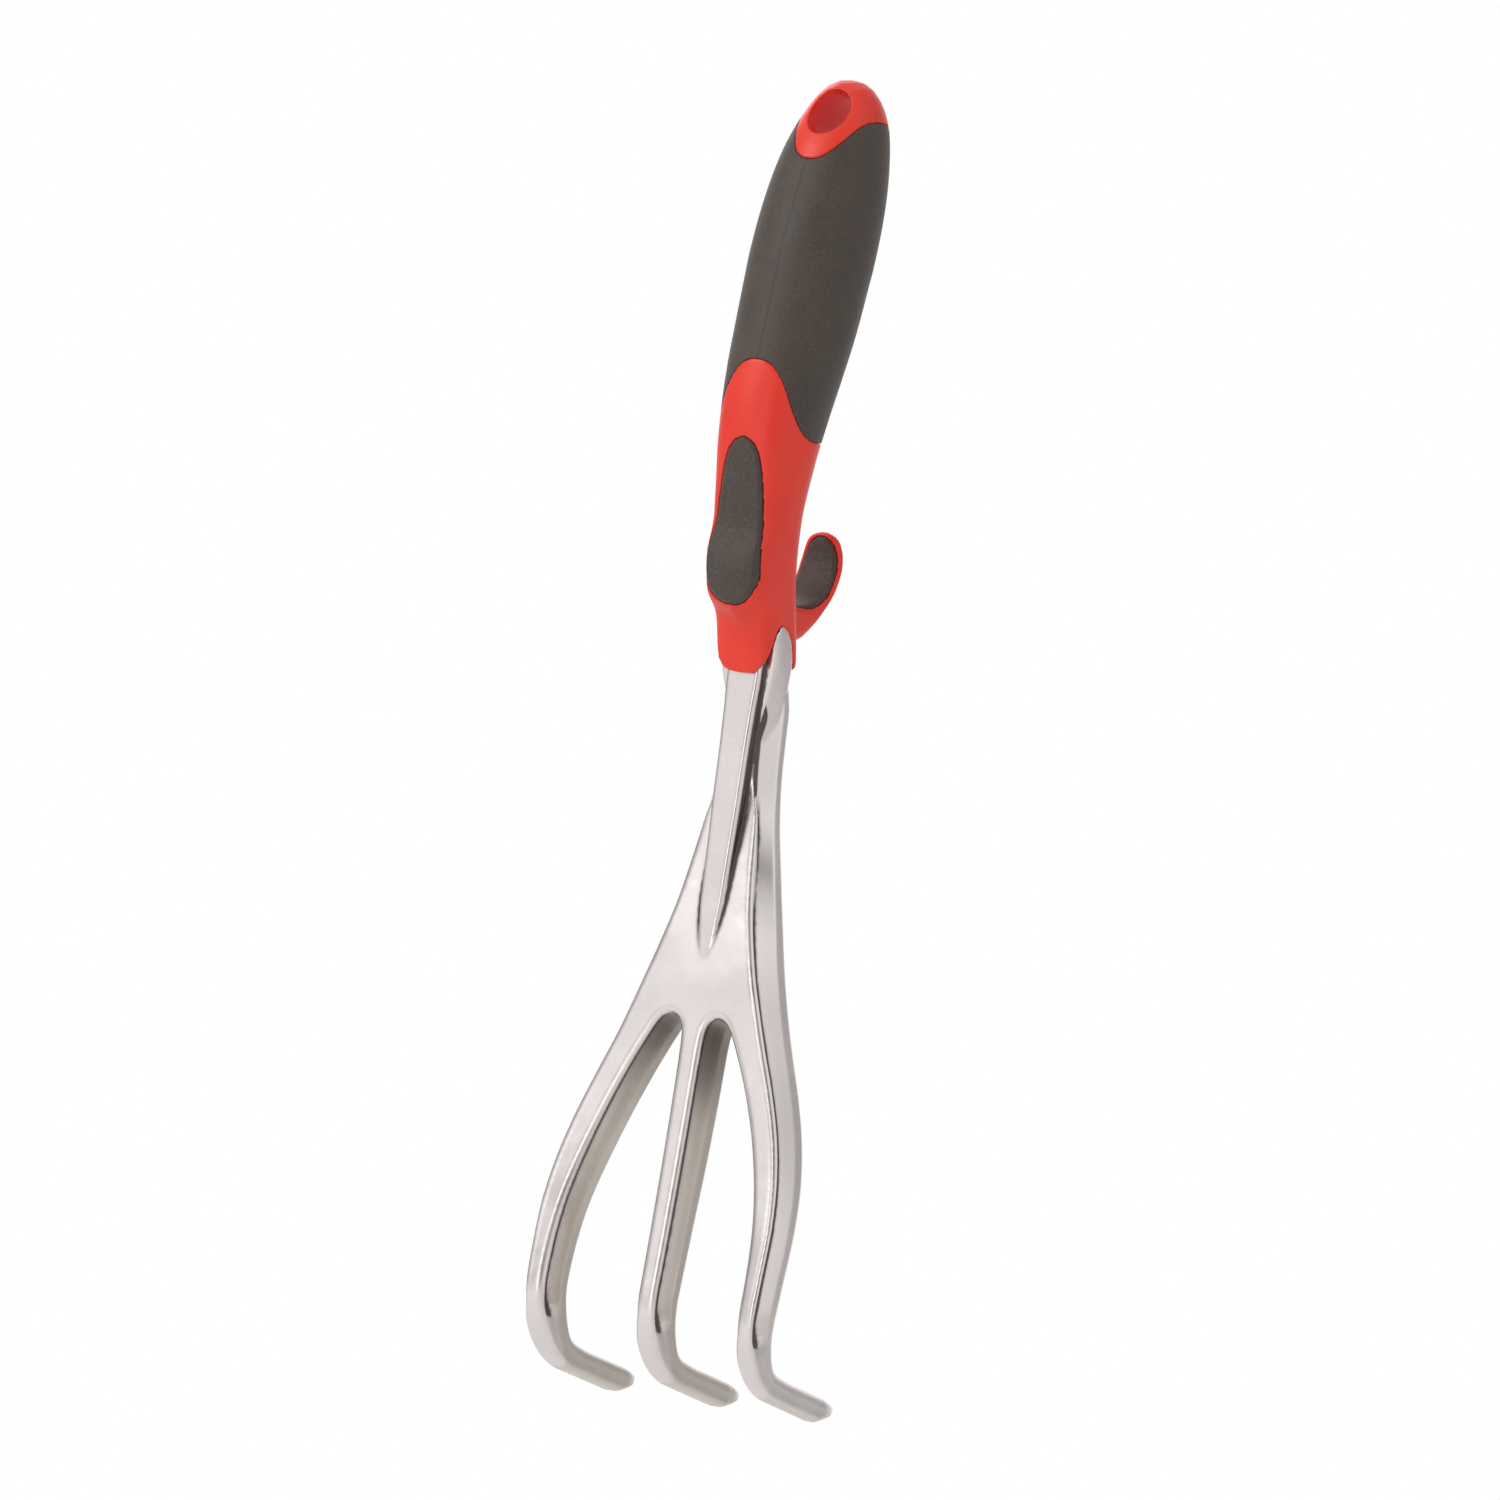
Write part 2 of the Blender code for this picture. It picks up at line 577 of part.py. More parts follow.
def fork_outline():
    """Closed anticlockwise outline of palm and tines, and which points lie on its outer edge."""
    outer = smooth_path(OUTER_EDGE, OUTLINE_STEP)
    tip_out = tip_edge(OUTER_TIP_X, 1)[1:]
    tip_in = tip_edge(OUTER_TIP_X, -1)[1:-1][::-1]
    inner = smooth_path(INNER_EDGE[:12], OUTLINE_STEP)[:-1]
    crotch = smooth_path(INNER_EDGE[11:17], OUTLINE_STEP / 2)[:-1]
    middle = smooth_path(INNER_EDGE[16:], OUTLINE_STEP)
    tip_middle = tip_edge(0.0, 1)[1:]
    right = np.concatenate([outer, tip_out, tip_in, inner, crotch, middle, tip_middle])
    left = right[:-1][::-1] * (-1, 1)
    on_outer = np.arange(len(right)) < len(outer) + len(tip_out)
    outline = np.concatenate([right, left])
    outer_flags = np.concatenate([on_outer, on_outer[:-1][::-1]])
    if turns_clockwise(outline):
        return outline[::-1], outer_flags[::-1]
    return outline, outer_flags


def turns_clockwise(outline):
    after = np.roll(outline, -1, axis=0)
    return (outline[:, 0] * after[:, 1] - outline[:, 1] * after[:, 0]).sum() < 0


def head_front(travel):
    """Level of the palm's and tines' front face."""
    tip = np.clip((travel - TIP_START) / TIP_LENGTH, 0, 1)
    return curve(PALM_FRONT, travel) + TIP_BEVEL_FRONT * tip


def head_back(travel):
    tip = smooth_step(TIP_START, TIP_START + TIP_LENGTH, travel)
    return curve(DEPTH, travel) - TIP_BEVEL_BACK * tip


def build_fork():
    """Palm, tines and the back of the shank, with a channel along every side."""
    outline, on_outer = fork_outline()
    travel = outline[:, 1]
    front, back = head_front(travel), head_back(travel)
    from_ends = np.minimum((TIP_START + TIP_LENGTH - travel) / TIP_LENGTH, (travel - HEAD_TOP) / TOP_TAPER)
    edge = np.clip(from_ends, 0.06, 1)
    solid = smooth_step(*CHANNEL_END, travel)
    palm = smooth_step(*CHANNEL_TOP, travel)
    plate = np.where(on_outer, curve(FRONT_PLATE_INSET, travel), TINE_PLATE_INSET)
    plate = plate * (1 - solid) + 0.1 * solid * edge
    channel = CHANNEL_DEPTH * palm * (1 - solid)
    thin = np.clip((back - front) / 8.0, 0, 1)
    web = thin * (0.8 + 2.8 * palm)
    shoulder = np.maximum(0.61 * back + 0.9 * (1 - palm), front + web + 0.4 * thin)
    layers = (
        (plate + 1.7 * edge, front),
        (plate + 0.6 * edge, front + 0.12 * web),
        (plate, front + 0.32 * web),
        (plate, front + 0.6 * web),
        (plate + channel, front + web),
        (0.0 * plate, shoulder + 0.5 * thin),
        (0.0 * plate, back - 2.2 * thin),
        (0.5 * edge, back - 0.9 * thin),
        (1.6 * edge, back),
    )
    shape = layered_plate(
        outline,
        layers,
        head_place,
        lambda flat: head_front(flat[:, 1]),
        lambda flat: head_back(flat[:, 1]),
        OUTLINE_STEP * 1.4,
    )
    return mesh_object("fork", *shape)


def rib_sink(travel):
    """How far the rib's front sinks below the front line where it runs out."""
    return RIB_SINK * smooth_step(*RIB_SINK_TRAVEL, travel)


def build_rib():
    """The rib along the front of the shank, which runs out on the palm."""
    outline = pad_outline(RIB_HALF_WIDTH, OUTLINE_STEP)
    travel = outline[:, 1]
    share = np.clip(curve(RIB_HALF_WIDTH, travel) / RIB_ROUNDED_HALF_WIDTH, RIB_LEAST_ROUNDING, 1)
    sink = rib_sink(travel)
    layers = [(inset * share, sink + depth) for inset, depth in RIB_LAYERS]
    shape = layered_plate(
        outline,
        layers,
        head_place,
        lambda flat: rib_sink(flat[:, 1]),
        lambda flat: rib_sink(flat[:, 1]) + RIB_DEPTH,
        OUTLINE_STEP,
    )
    return mesh_object("rib", *shape)


def build_collar():
    """The top of the shank, which fills the ferrule's arches nearly flush with its skin."""
    round_ = angles()
    turn = degrees_from_front(round_)
    inset = curve(COLLAR_INSET, turn)
    radius = handle_section(SKIRT_FOOT)[1]
    arch = (skirt_edge(round_) - SKIRT_FOOT) * (1 - inset / radius)
    rings = []
    for height in bands(SKIRT_FOOT + arch - ARCH_GAP, COLLAR_FOOT, COLLAR_RINGS):
        taper = curve(COLLAR_TAPER, turn) * (1 - smooth_step(COLLAR_FOOT, COLLAR_TAPER_TOP, height))
        rings.append(handle_skin(round_, height, inset + taper))
    pole = (0.0, handle_section(SKIRT_FOOT)[0], SKIRT_FOOT - ARCH_GAP)
    return mesh_object("collar", *tube_of_rings(rings, first_pole=pole))


def section_loft(name, stations, squareness, margin=0.0):
    """A loft through sections of (height, centre in Y, half width, half depth)."""
    round_ = np.linspace(0, 2 * math.pi, LOFT_SIDES, endpoint=False)
    reach = reach_at(round_, squareness)
    rings = []
    for height, centre, half_x, half_y in stations:
        x = (half_x + margin) * reach * np.sin(round_)
        y = centre - (half_y + margin) * reach * np.cos(round_)
        rings.append(np.stack([x, y, np.full_like(x, height)], axis=-1))
    return mesh_object(name, *tube_of_rings(rings))


def tang_stations(margin=0.0):
    heights = np.linspace(TANG_STATIONS[0][0], TANG_STATIONS[-1][0], TANG_RINGS)
    columns = [curve([(row[0], row[k]) for row in TANG_STATIONS], heights) for k in (1, 2, 3)]
    stations = list(zip(heights, *columns))
    height, centre, half_x, half_y = stations[-1]
    stations[-1] = (height + margin, centre, half_x, half_y)
    return stations


def rod_along_y(name, radius, height, centre_y, length, tilt=0.0):
    """A cylinder along Y, its front end raised by tilt degrees."""
    bpy.ops.mesh.primitive_cylinder_add(
        vertices=ROD_SIDES,
        radius=radius * MM,
        depth=length * MM,
        location=(0, centre_y * MM, height * MM),
        rotation=(math.radians(90 - tilt), 0, 0),
    )
    rod = bpy.context.active_object
    rod.name = name
    return rod


def hang_hole():
    """The oval hang hole's cutter, its front end higher than its back end."""
    size = (HANG_HOLE_HALF_WIDTH, HANG_HOLE_CENTRE, 0.0, HANG_HOLE_CUT_LENGTH, HANG_HOLE_TILT)
    hole = rod_along_y("hang_hole", *size)
    hole.scale.y = HANG_HOLE_HALF_HEIGHT / HANG_HOLE_HALF_WIDTH
    return hole


def lock_rods(radius):
    """A rod along Y through each of the tang's locking holes."""
    centres = curve([(row[0], row[1]) for row in TANG_STATIONS], LOCK_HOLE_HEIGHTS)
    return [
        rod_along_y("lock_rod", radius, height, centre, LOCK_ROD_LENGTH)
        for height, centre in zip(LOCK_HOLE_HEIGHTS, centres)
    ]


def build_head(finish):
    head = build_fork()
    combine(head, build_rib(), "UNION")
    combine(head, build_collar(), "UNION")
    combine(head, section_loft("tang", tang_stations(), TANG_SQUARENESS), "UNION")
    for rod in lock_rods(LOCK_HOLE_RADIUS):
        combine(head, rod, "DIFFERENCE")
    head.name = "tine_head"
    head.data.materials.clear()
    head.data.materials.append(finish)
    return head


def cut_socket(core):
    """Cuts the room for the shank and the tang, leaving the plugs that lock the tang."""
    top, centre, half_x, half_y, squareness = SHANK_SOCKET
    shank = [(height, centre, half_x, half_y) for height in (top - SHANK_SOCKET_LENGTH, top)]
    combine(core, section_loft("shank_socket", shank, squareness), "DIFFERENCE")
    tang_socket = section_loft("tang_socket", tang_stations(GAP), TANG_SQUARENESS, GAP)
    for rod in lock_rods(LOCK_HOLE_RADIUS - GAP):
        combine(tang_socket, rod, "DIFFERENCE")
    combine(core, tang_socket, "DIFFERENCE")


def build_handle(finish):
    core = mesh_object("handle_core", *build_core_blank())
    combine(core, build_hook(), "UNION")
    cut_socket(core)
    combine(core, hang_hole(), "DIFFERENCE")
    thumb_recess = thumb_pad_shape(GAP, THUMB_RECESS_REACH, THUMB_PAD_THICKNESS + GAP)
    combine(core, mesh_object("thumb_recess", *thumb_recess), "DIFFERENCE")
    finger_recess = finger_pad_shape(GAP, FINGER_RECESS_REACH, FINGER_PAD_THICKNESS + GAP)
    combine(core, mesh_object("finger_recess", *finger_recess), "DIFFERENCE")
    core.data.materials.clear()
    core.data.materials.append(finish)
    return core


def main():
    for obj in list(bpy.data.objects):
        bpy.data.objects.remove(obj)
    aluminium = material("aluminium", (0.68, 0.65, 0.64), 0.28, 1.0)
    red_plastic = material("red_plastic", (0.72, 0.05, 0.04), 0.35)
    black_rubber = material("black_rubber", (0.07, 0.06, 0.055), 0.75)
    build_head(aluminium)
    build_handle(red_plastic)
    build_sleeve(black_rubber)
    mesh_object("thumb_pad", *thumb_pad_shape(0.0, PAD_PROUD, THUMB_PAD_THICKNESS), black_rubber)
    mesh_object("finger_pad", *finger_pad_shape(0.0, PAD_PROUD, FINGER_PAD_THICKNESS), black_rubber)


main()
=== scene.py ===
"""The hand cultivator's looks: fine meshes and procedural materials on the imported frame."""

import math

import bmesh
import bpy
import numpy as np
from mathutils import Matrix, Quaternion, Vector
from mathutils.geometry import delaunay_2d_cdt


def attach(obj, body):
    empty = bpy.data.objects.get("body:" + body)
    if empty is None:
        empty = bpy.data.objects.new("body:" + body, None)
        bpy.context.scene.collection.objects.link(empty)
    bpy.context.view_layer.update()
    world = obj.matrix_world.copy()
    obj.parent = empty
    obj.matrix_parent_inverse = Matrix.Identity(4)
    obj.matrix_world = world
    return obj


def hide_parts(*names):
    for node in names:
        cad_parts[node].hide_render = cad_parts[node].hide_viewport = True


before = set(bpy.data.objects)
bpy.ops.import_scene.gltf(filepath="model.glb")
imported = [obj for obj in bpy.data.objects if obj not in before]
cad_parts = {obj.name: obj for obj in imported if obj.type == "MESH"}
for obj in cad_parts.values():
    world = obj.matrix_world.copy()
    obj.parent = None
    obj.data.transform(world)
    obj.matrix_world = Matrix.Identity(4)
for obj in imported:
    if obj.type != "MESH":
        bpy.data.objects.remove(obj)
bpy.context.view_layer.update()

MM = 0.001
GAP = 0.3

# Handle: height, centre in Y, half width, half depth, squareness of the section.
HANDLE_STATIONS = (
    (-40.0, -6.2, 16.7, 17.0, 2.0),
    (-58.0, -9.4, 16.1, 16.5, 2.0),
    (-70.0, -12.0, 15.2, 15.8, 2.05),
    (-82.0, -14.2, 13.9, 14.7, 2.15),
    (-94.0, -15.4, 12.5, 13.2, 2.3),
    (-104.0, -15.5, 11.3, 11.5, 2.6),
    (-113.0, -14.5, 10.4, 10.2, 3.0),
    (-124.0, -12.2, 9.7, 9.7, 3.2),
    (-136.0, -8.6, 9.3, 9.4, 3.8),
    (-148.0, -5.4, 9.1, 8.9, 4.4),
    (-156.0, -4.8, 9.0, 8.8, 4.6),
)
HANDLE_TOP = 10.5
DOME_FOOT = -40.0
DOME_CENTRE = ((10.5, 2.6), (2.0, 2.0), (-10.0, -0.5), (-22.0, -2.8), (-40.0, -6.2))
DOME_SQUARENESS = 2.3
HANG_HOLE_CENTRE = -1.2
HANG_HOLE_HALF_WIDTH = 5.8
HANG_HOLE_HALF_HEIGHT = 7.2
HANG_HOLE_TILT = 15.0
HANG_HOLE_CUT_LENGTH = 80.0
DOME_RINGS = 7
DOME_FIRST_SHARE = 0.001

# Black sleeve: its two edges dip and rise once at the front, once at the back.
SLEEVE_THICKNESS = 2.0
CAP_EDGE_SIDE = -0.2
CAP_EDGE_DIP = 12.2
CAP_EDGE_SPREAD = 41.0
CAP_EDGE_POWER = 2.4
THROAT_EDGE_BACK = -87.5
THROAT_EDGE_RISE = 20.0
THROAT_EDGE_SPREAD = 50.0
THROAT_EDGE_POWER = 2.6

# Ferrule's edge, height against degrees round from the front: a tongue at the front and the
# back, and an arch over each side of the shank.
SKIRT_FOOT = -151.0
SKIRT_EDGE = (
    (0.0, -151.0), (20.0, -150.8), (32.0, -149.8), (42.0, -147.6), (51.0, -144.0), (60.0, -140.2),
    (70.0, -137.5), (83.0, -136.2), (99.0, -137.2), (110.0, -140.0), (117.0, -143.4), (125.0, -146.2),
    (138.0, -148.2), (160.0, -148.8), (180.0, -148.8),
)
ARCH_GAP = 0.6

# Collar of the head that fills the arches: how far it lies under the handle's skin.
COLLAR_FOOT = -174.0
COLLAR_TAPER_TOP = -145.0
COLLAR_INSET = (
    (0.0, 5.0), (30.0, 6.0), (40.0, 6.0), (47.0, 5.0), (52.0, 3.0), (57.0, 1.3), (65.0, 0.4), (83.0, 0.1),
    (110.0, 0.1), (125.0, 0.8), (140.0, 1.75), (180.0, 1.75),
)
# How much further in its foot lies.
COLLAR_TAPER = (
    (0.0, 1.0), (30.0, 1.5), (47.0, 3.0), (52.0, 4.4), (60.0, 5.4), (70.0, 5.0), (83.0, 4.4), (90.0, 3.7),
    (100.0, 2.8), (110.0, 2.2), (180.0, 1.8),
)

# Thumb rest: how far it stands out of the handle, and its pad's half widths.
THUMB_REST_RISE = (
    (-104.0, 0.0), (-108.0, 0.2), (-112.0, 0.6), (-117.0, 2.4), (-121.5, 4.8), (-125.0, 5.8), (-129.0, 5.9),
    (-131.5, 5.7), (-133.6, 5.0), (-135.2, 3.6), (-136.8, 1.8), (-138.8, 0.6), (-141.0, 0.1), (-146.0, 0.0),
)
THUMB_REST_FLAT = 40.0
THUMB_REST_SPREAD = 84.0
THUMB_REST_CURL = 0.055
THUMB_PAD_HALF_WIDTH = (
    (-88.6, 0.0), (-89.4, 2.2), (-92.0, 4.3), (-100.0, 6.0), (-112.0, 7.0), (-117.0, 7.6), (-122.0, 8.0),
    (-126.0, 7.8), (-129.5, 6.6), (-131.8, 4.6), (-133.0, 2.4), (-133.5, 0.0),
)
THUMB_PAD_THICKNESS = 1.8
THUMB_PAD_ROUNDING = (0.9, 0.6)
THUMB_PAD_EDGE_STEP = 3.0
THUMB_PAD_GRID_STEP = 3.5
THUMB_RECESS_REACH = 4.0

# Finger hook: an arc behind the handle that thickens down to its root.
HOOK_CENTRE = (6.2, -117.0)
HOOK_INNER_RADIUS = 14.5
HOOK_HALF_WIDTH = ((24.0, 4.2), (14.0, 5.1), (2.0, 6.1), (-14.0, 6.6), (-40.0, 6.8), (-122.0, 6.5))
HOOK_THICKNESS = (
    (24.0, 2.6), (0.0, 3.0), (-30.0, 2.9), (-50.0, 3.4), (-75.0, 6.4), (-95.0, 10.4), (-122.0, 12.0),
)
HOOK_TIP_RINGS = ((24.0, 0.12), (23.2, 0.45), (20.9, 0.75), (17.5, 0.93), (13.5, 1.0))
HOOK_ROOT_ANGLE = -122.0
HOOK_FIRST_FULL_ANGLE = 5.5
HOOK_RINGS = 16
HOOK_SIDES = 20
HOOK_SQUARENESS = 3
HOOK_THINNEST_SHARE = 0.45
FINGER_PAD_HALF_WIDTH = (
    (-84.0, 0.0), (-82.0, 2.6), (-70.0, 4.8), (-45.0, 5.6), (-14.0, 5.3), (4.0, 4.4), (14.0, 3.2),
    (19.0, 1.8), (21.5, 0.0),
)
FINGER_PAD_THICKNESS = 1.2
FINGER_PAD_ROUNDING = (0.7, 0.5)
FINGER_PAD_EDGE_STEP = 2.6
FINGER_PAD_GRID_STEP = 3.0
FINGER_RECESS_REACH = 3.0
PAD_PROUD = 0.3

# Head: the front face's line, its bend, and the tips.
FRONT_Y = -12.0
LEAN_START = 215.0
BEND_START = 317.5
LEAN_ANGLE = 5.3
BEND_RADIUS = 24.0
BEND_ANGLE = 85.7
OUTER_TINE_SPLAY = 3.5
SPLAY_START = 250.0
TINE_CENTRE = 33.4
OUTER_TIP_X = 31.2
TIP_START = 379.0
TIP_LENGTH = 11.0
TIP_HALF_WIDTH = 3.2
TIP_BEVEL_FRONT = 4.4
TIP_BEVEL_BACK = 1.0
TIP_EDGE_POINTS = 7
TIP_BLUNTNESS = 0.75

# Outer edge of the palm and outer tine: half width against travel.
OUTER_EDGE = (
    (7.2, 144.0), (7.6, 150.0), (8.3, 158.0), (8.6, 167.0), (9.2, 178.0), (10.7, 190.0),
    (12.8, 202.0), (14.9, 214.0), (17.2, 226.0), (20.3, 238.0), (24.1, 250.0), (28.5, 262.0),
    (32.4, 274.0), (35.2, 286.0), (36.6, 298.0), (36.7, 310.0), (36.4, 322.0), (35.7, 336.0),
    (35.0, 352.0), (34.6, 368.0), (34.4, 379.0),
)
INNER_EDGE = (
    (28.0, 379.0), (28.3, 368.0), (28.6, 352.0), (29.0, 336.0), (29.4, 322.0), (29.3, 310.0),
    (28.3, 298.0), (25.9, 286.0), (22.1, 273.0), (17.7, 261.5), (13.8, 253.0), (11.0, 247.6),
    (9.3, 245.4), (7.4, 244.5), (5.6, 245.2), (4.5, 247.6), (4.1, 252.0), (4.0, 262.0), (3.7, 310.0),
    (3.4, 379.0),
)

# Depth of the section against travel, and how deep its front face lies under the front line.
DEPTH = (
    (144.0, 13.2), (151.0, 13.6), (162.0, 15.4), (172.0, 15.2), (190.0, 14.8), (205.0, 15.2),
    (225.0, 16.0), (262.0, 15.8), (280.0, 15.2), (298.0, 14.0), (310.0, 13.5), (322.0, 13.1), (330.0, 12.3),
    (338.0, 10.8), (349.0, 8.0), (362.0, 7.0), (380.0, 7.0),
)
PALM_FRONT = (
    (144.0, 5.2), (180.0, 5.2), (190.0, 4.3), (211.0, 1.9), (226.0, 0.5), (236.0, 0.0), (400.0, 0.0),
)
FRONT_PLATE_INSET = (
    (144.0, 0.2), (157.0, 4.2), (178.0, 4.2), (190.0, 2.6), (211.0, 3.0), (226.0, 2.2), (240.0, 1.5),
    (260.0, 1.0), (275.0, 0.8), (400.0, 0.8),
)
TINE_PLATE_INSET = 0.8
HEAD_TOP = 144.0
TOP_TAPER = 8.0
CHANNEL_DEPTH = 1.6
CHANNEL_TOP = (178.0, 205.0)
CHANNEL_END = (325.0, 334.0)

# Rib along the front of the shank: half width against travel.
RIB_DEPTH = 9.0
RIB_SINK = 0.4
RIB_SINK_TRAVEL = (212.0, 233.0)
RIB_ROUNDED_HALF_WIDTH = 3.6
RIB_LEAST_ROUNDING = 0.08
RIB_HALF_WIDTH = (
    (143.0, 0.0), (144.0, 2.6), (146.5, 4.6), (151.0, 5.2), (160.0, 4.8), (170.0, 4.5), (185.0, 4.3),
    (200.0, 3.9), (212.0, 3.6), (223.0, 2.4), (230.0, 1.0), (233.0, 0.0),
)
# The rib's edge, from front to back: inset and depth.
RIB_LAYERS = ((1.1, 0.0), (0.3, 0.35), (0.0, 1.2), (0.0, 3.4), (0.9, 5.2), (0.9, RIB_DEPTH))

# Socket for the shank: top, centre in Y, half width, half depth, squareness.
SHANK_SOCKET = (-142.5, -5.15, 7.8, 7.3, 12.0)
SHANK_SOCKET_LENGTH = 20.0

# Tang: height, centre in Y, half width, half depth.
TANG_STATIONS = (
    (-158.0, -2.6, 5.4, 4.8), (-151.0, -4.9, 6.3, 5.7), (-146.0, -5.8, 6.4, 6.0), (-140.0, -6.9, 6.4, 5.9),
    (-133.0, -8.8, 6.4, 5.5), (-124.0, -11.2, 6.2, 4.8), (-112.0, -13.4, 5.6, 4.2),
    (-95.0, -14.8, 5.4, 4.0), (-70.0, -12.0, 5.0, 3.6), (-48.0, -8.4, 4.2, 3.0),
)
LOCK_HOLE_HEIGHTS = (-66.0, -88.0)
LOCK_HOLE_RADIUS = 2.6
LOCK_ROD_LENGTH = 24.0
TANG_SQUARENESS = 4.0
TANG_RINGS = 14

OUTLINE_STEP = 2.0
AROUND = 112
COLLAR_RINGS = 28
WAIST_RINGS = 30
THROAT_RINGS = 64
OUTLINE_SAMPLES = 60
LOFT_SIDES = 24
ROD_SIDES = 72


def curve(stations, at):
    """Smooth curve through (place, value) stations, without overshoot, at one place or many."""
    table = np.array(sorted(stations))
    xs, ys = table[:, 0], table[:, 1]
    slopes = np.diff(ys) / np.diff(xs)
    tangents = np.zeros(len(xs))
    inner = slopes[:-1] * slopes[1:] > 0
    tangents[1:-1][inner] = 2 / (1 / slopes[:-1][inner] + 1 / slopes[1:][inner])
    tangents[0], tangents[-1] = slopes[0], slopes[-1]
    at = np.clip(np.asarray(at, float), xs[0], xs[-1])
    k = np.clip(np.searchsorted(xs, at, side="right") - 1, 0, len(xs) - 2)
    width = xs[k + 1] - xs[k]
    u = (at - xs[k]) / width
    return (
        ys[k] * (1 + 2 * u) * (1 - u) ** 2
        + tangents[k] * width * u * (1 - u) ** 2
        + ys[k + 1] * u * u * (3 - 2 * u)
        - tangents[k + 1] * width * u * u * (1 - u)
    )


def smooth_step(start, end, at):
    """0 before start, 1 after end, smooth between them."""
    u = np.clip((np.asarray(at, float) - start) / (end - start), 0, 1)
    return u * u * (3 - 2 * u)


def mesh_object(name, points, faces, finish=None):
    """A closed object from points in millimetres, with its faces turned outwards."""
    made = bmesh.new()
    verts = [made.verts.new([c * MM for c in point]) for point in points]
    for face in faces:
        made.faces.new([verts[k] for k in face])
    bmesh.ops.recalc_face_normals(made, faces=made.faces)
    mesh = bpy.data.meshes.new(name)
    made.to_mesh(mesh)
    made.free()
    mesh.shade_smooth()
    mesh.set_sharp_from_angle(angle=math.radians(40))
    if finish:
        mesh.materials.append(finish)
    obj = bpy.data.objects.new(name, mesh)
    bpy.context.collection.objects.link(obj)
    return obj


def combine(obj, other, operation):
    """Applies a Boolean of obj with other, which is then removed."""
    cut = obj.modifiers.new("Combine", "BOOLEAN")
    cut.operation = operation
    cut.solver = "EXACT"
    cut.object = other
    graph = bpy.context.evaluated_depsgraph_get()
    mesh = bpy.data.meshes.new_from_object(obj.evaluated_get(graph))
    obj.modifiers.clear()
    obj.data = mesh
    bpy.data.objects.remove(other)


def tube_of_rings(rings, first_pole=None, last_pole=None, loop=False):
    """Points and faces of rings joined in order, closed by poles, by flat ends or into a loop."""
    count = len(rings[0])
    points = [point for ring in rings for point in ring]
    faces = []
    pairs = [(k, k + 1) for k in range(len(rings) - 1)]
    if loop:
        pairs.append((len(rings) - 1, 0))
    for a, b in pairs:
        for k in range(count):
            after = (k + 1) % count
            faces.append((a * count + k, a * count + after, b * count + after, b * count + k))
    for pole, start in ((first_pole, 0), (last_pole, (len(rings) - 1) * count)):
        if loop:
            continue
        if pole is None:
            faces.append(tuple(range(start, start + count)))
            continue
        points.append(pole)
        faces += [(start + k, start + (k + 1) % count, len(points) - 1) for k in range(count)]
    return points, faces


def smooth_path(points, step):
    """An even polyline about one step apart on a smooth curve through the points."""
    points = np.asarray(points, float)
    before = np.concatenate([[2 * points[0] - points[1]], points])
    after = np.concatenate([points[2:], [2 * points[-1] - points[-2]]])
    dense = [points[:1]]
    share = np.linspace(0, 1, 9)[1:, None]
    for k in range(len(points) - 1):
        p0, p1, p2, p3 = before[k], points[k], points[k + 1], after[k]
        bend = 2 * p0 - 5 * p1 + 4 * p2 - p3
        twist = 3 * p1 - p0 - 3 * p2 + p3
        dense.append(p1 + 0.5 * share * (p2 - p0 + share * (bend + share * twist)))
    return resampled(np.concatenate(dense), step)


def resampled(points, step):
    """The polyline's points spread evenly, about one step apart."""
    points = np.asarray(points, float)
    along = np.concatenate([[0], np.cumsum(np.hypot(*np.diff(points, axis=0).T))])
    places = np.linspace(0, along[-1], max(2, round(along[-1] / step) + 1))
    return np.stack([np.interp(places, along, points[:, k]) for k in (0, 1)], axis=1)


def inward_normals(outline):
    """Unit vectors pointing into a closed outline that runs anticlockwise."""
    along = np.roll(outline, -1, axis=0) - np.roll(outline, 1, axis=0)
    along /= np.hypot(*along.T)[:, None]
    return np.stack([-along[:, 1], along[:, 0]], axis=1)


def inside(points, outline):
    """Which points lie inside the outline."""
    x, y = points[:, :1], points[:, 1:]
    a, b = outline, np.roll(outline, -1, axis=0)
    crosses = (a[:, 1] > y) != (b[:, 1] > y)
    at = a[:, 0] + (y - a[:, 1]) * (b[:, 0] - a[:, 0]) / np.where(crosses, b[:, 1] - a[:, 1], 1)
    return (crosses & (x < at)).sum(axis=1) % 2 == 1


def cap_grid(border, spacing):
    """Border points, then a grid of inner points clear of it, and the triangles that join them."""
    low, high = border.min(axis=0), border.max(axis=0)
    xs, ys = (np.arange(low[k] + spacing / 2, high[k], spacing) for k in (0, 1))
    grid = np.array([(x, y) for y in ys for x in xs]).reshape(-1, 2)
    grid = grid[inside(grid, border)]
    away = np.array([np.hypot(*(border - point).T).min() for point in grid])
    grid = grid[away > 0.6 * spacing] if len(grid) else grid
    points = np.concatenate([border, grid])
    loop = [(k, (k + 1) % len(border)) for k in range(len(border))]
    found = delaunay_2d_cdt([tuple(p) for p in points], loop, [], 1, 1e-6)
    return points, [tuple(found[3][k][0] for k in face) for face in found[2]]


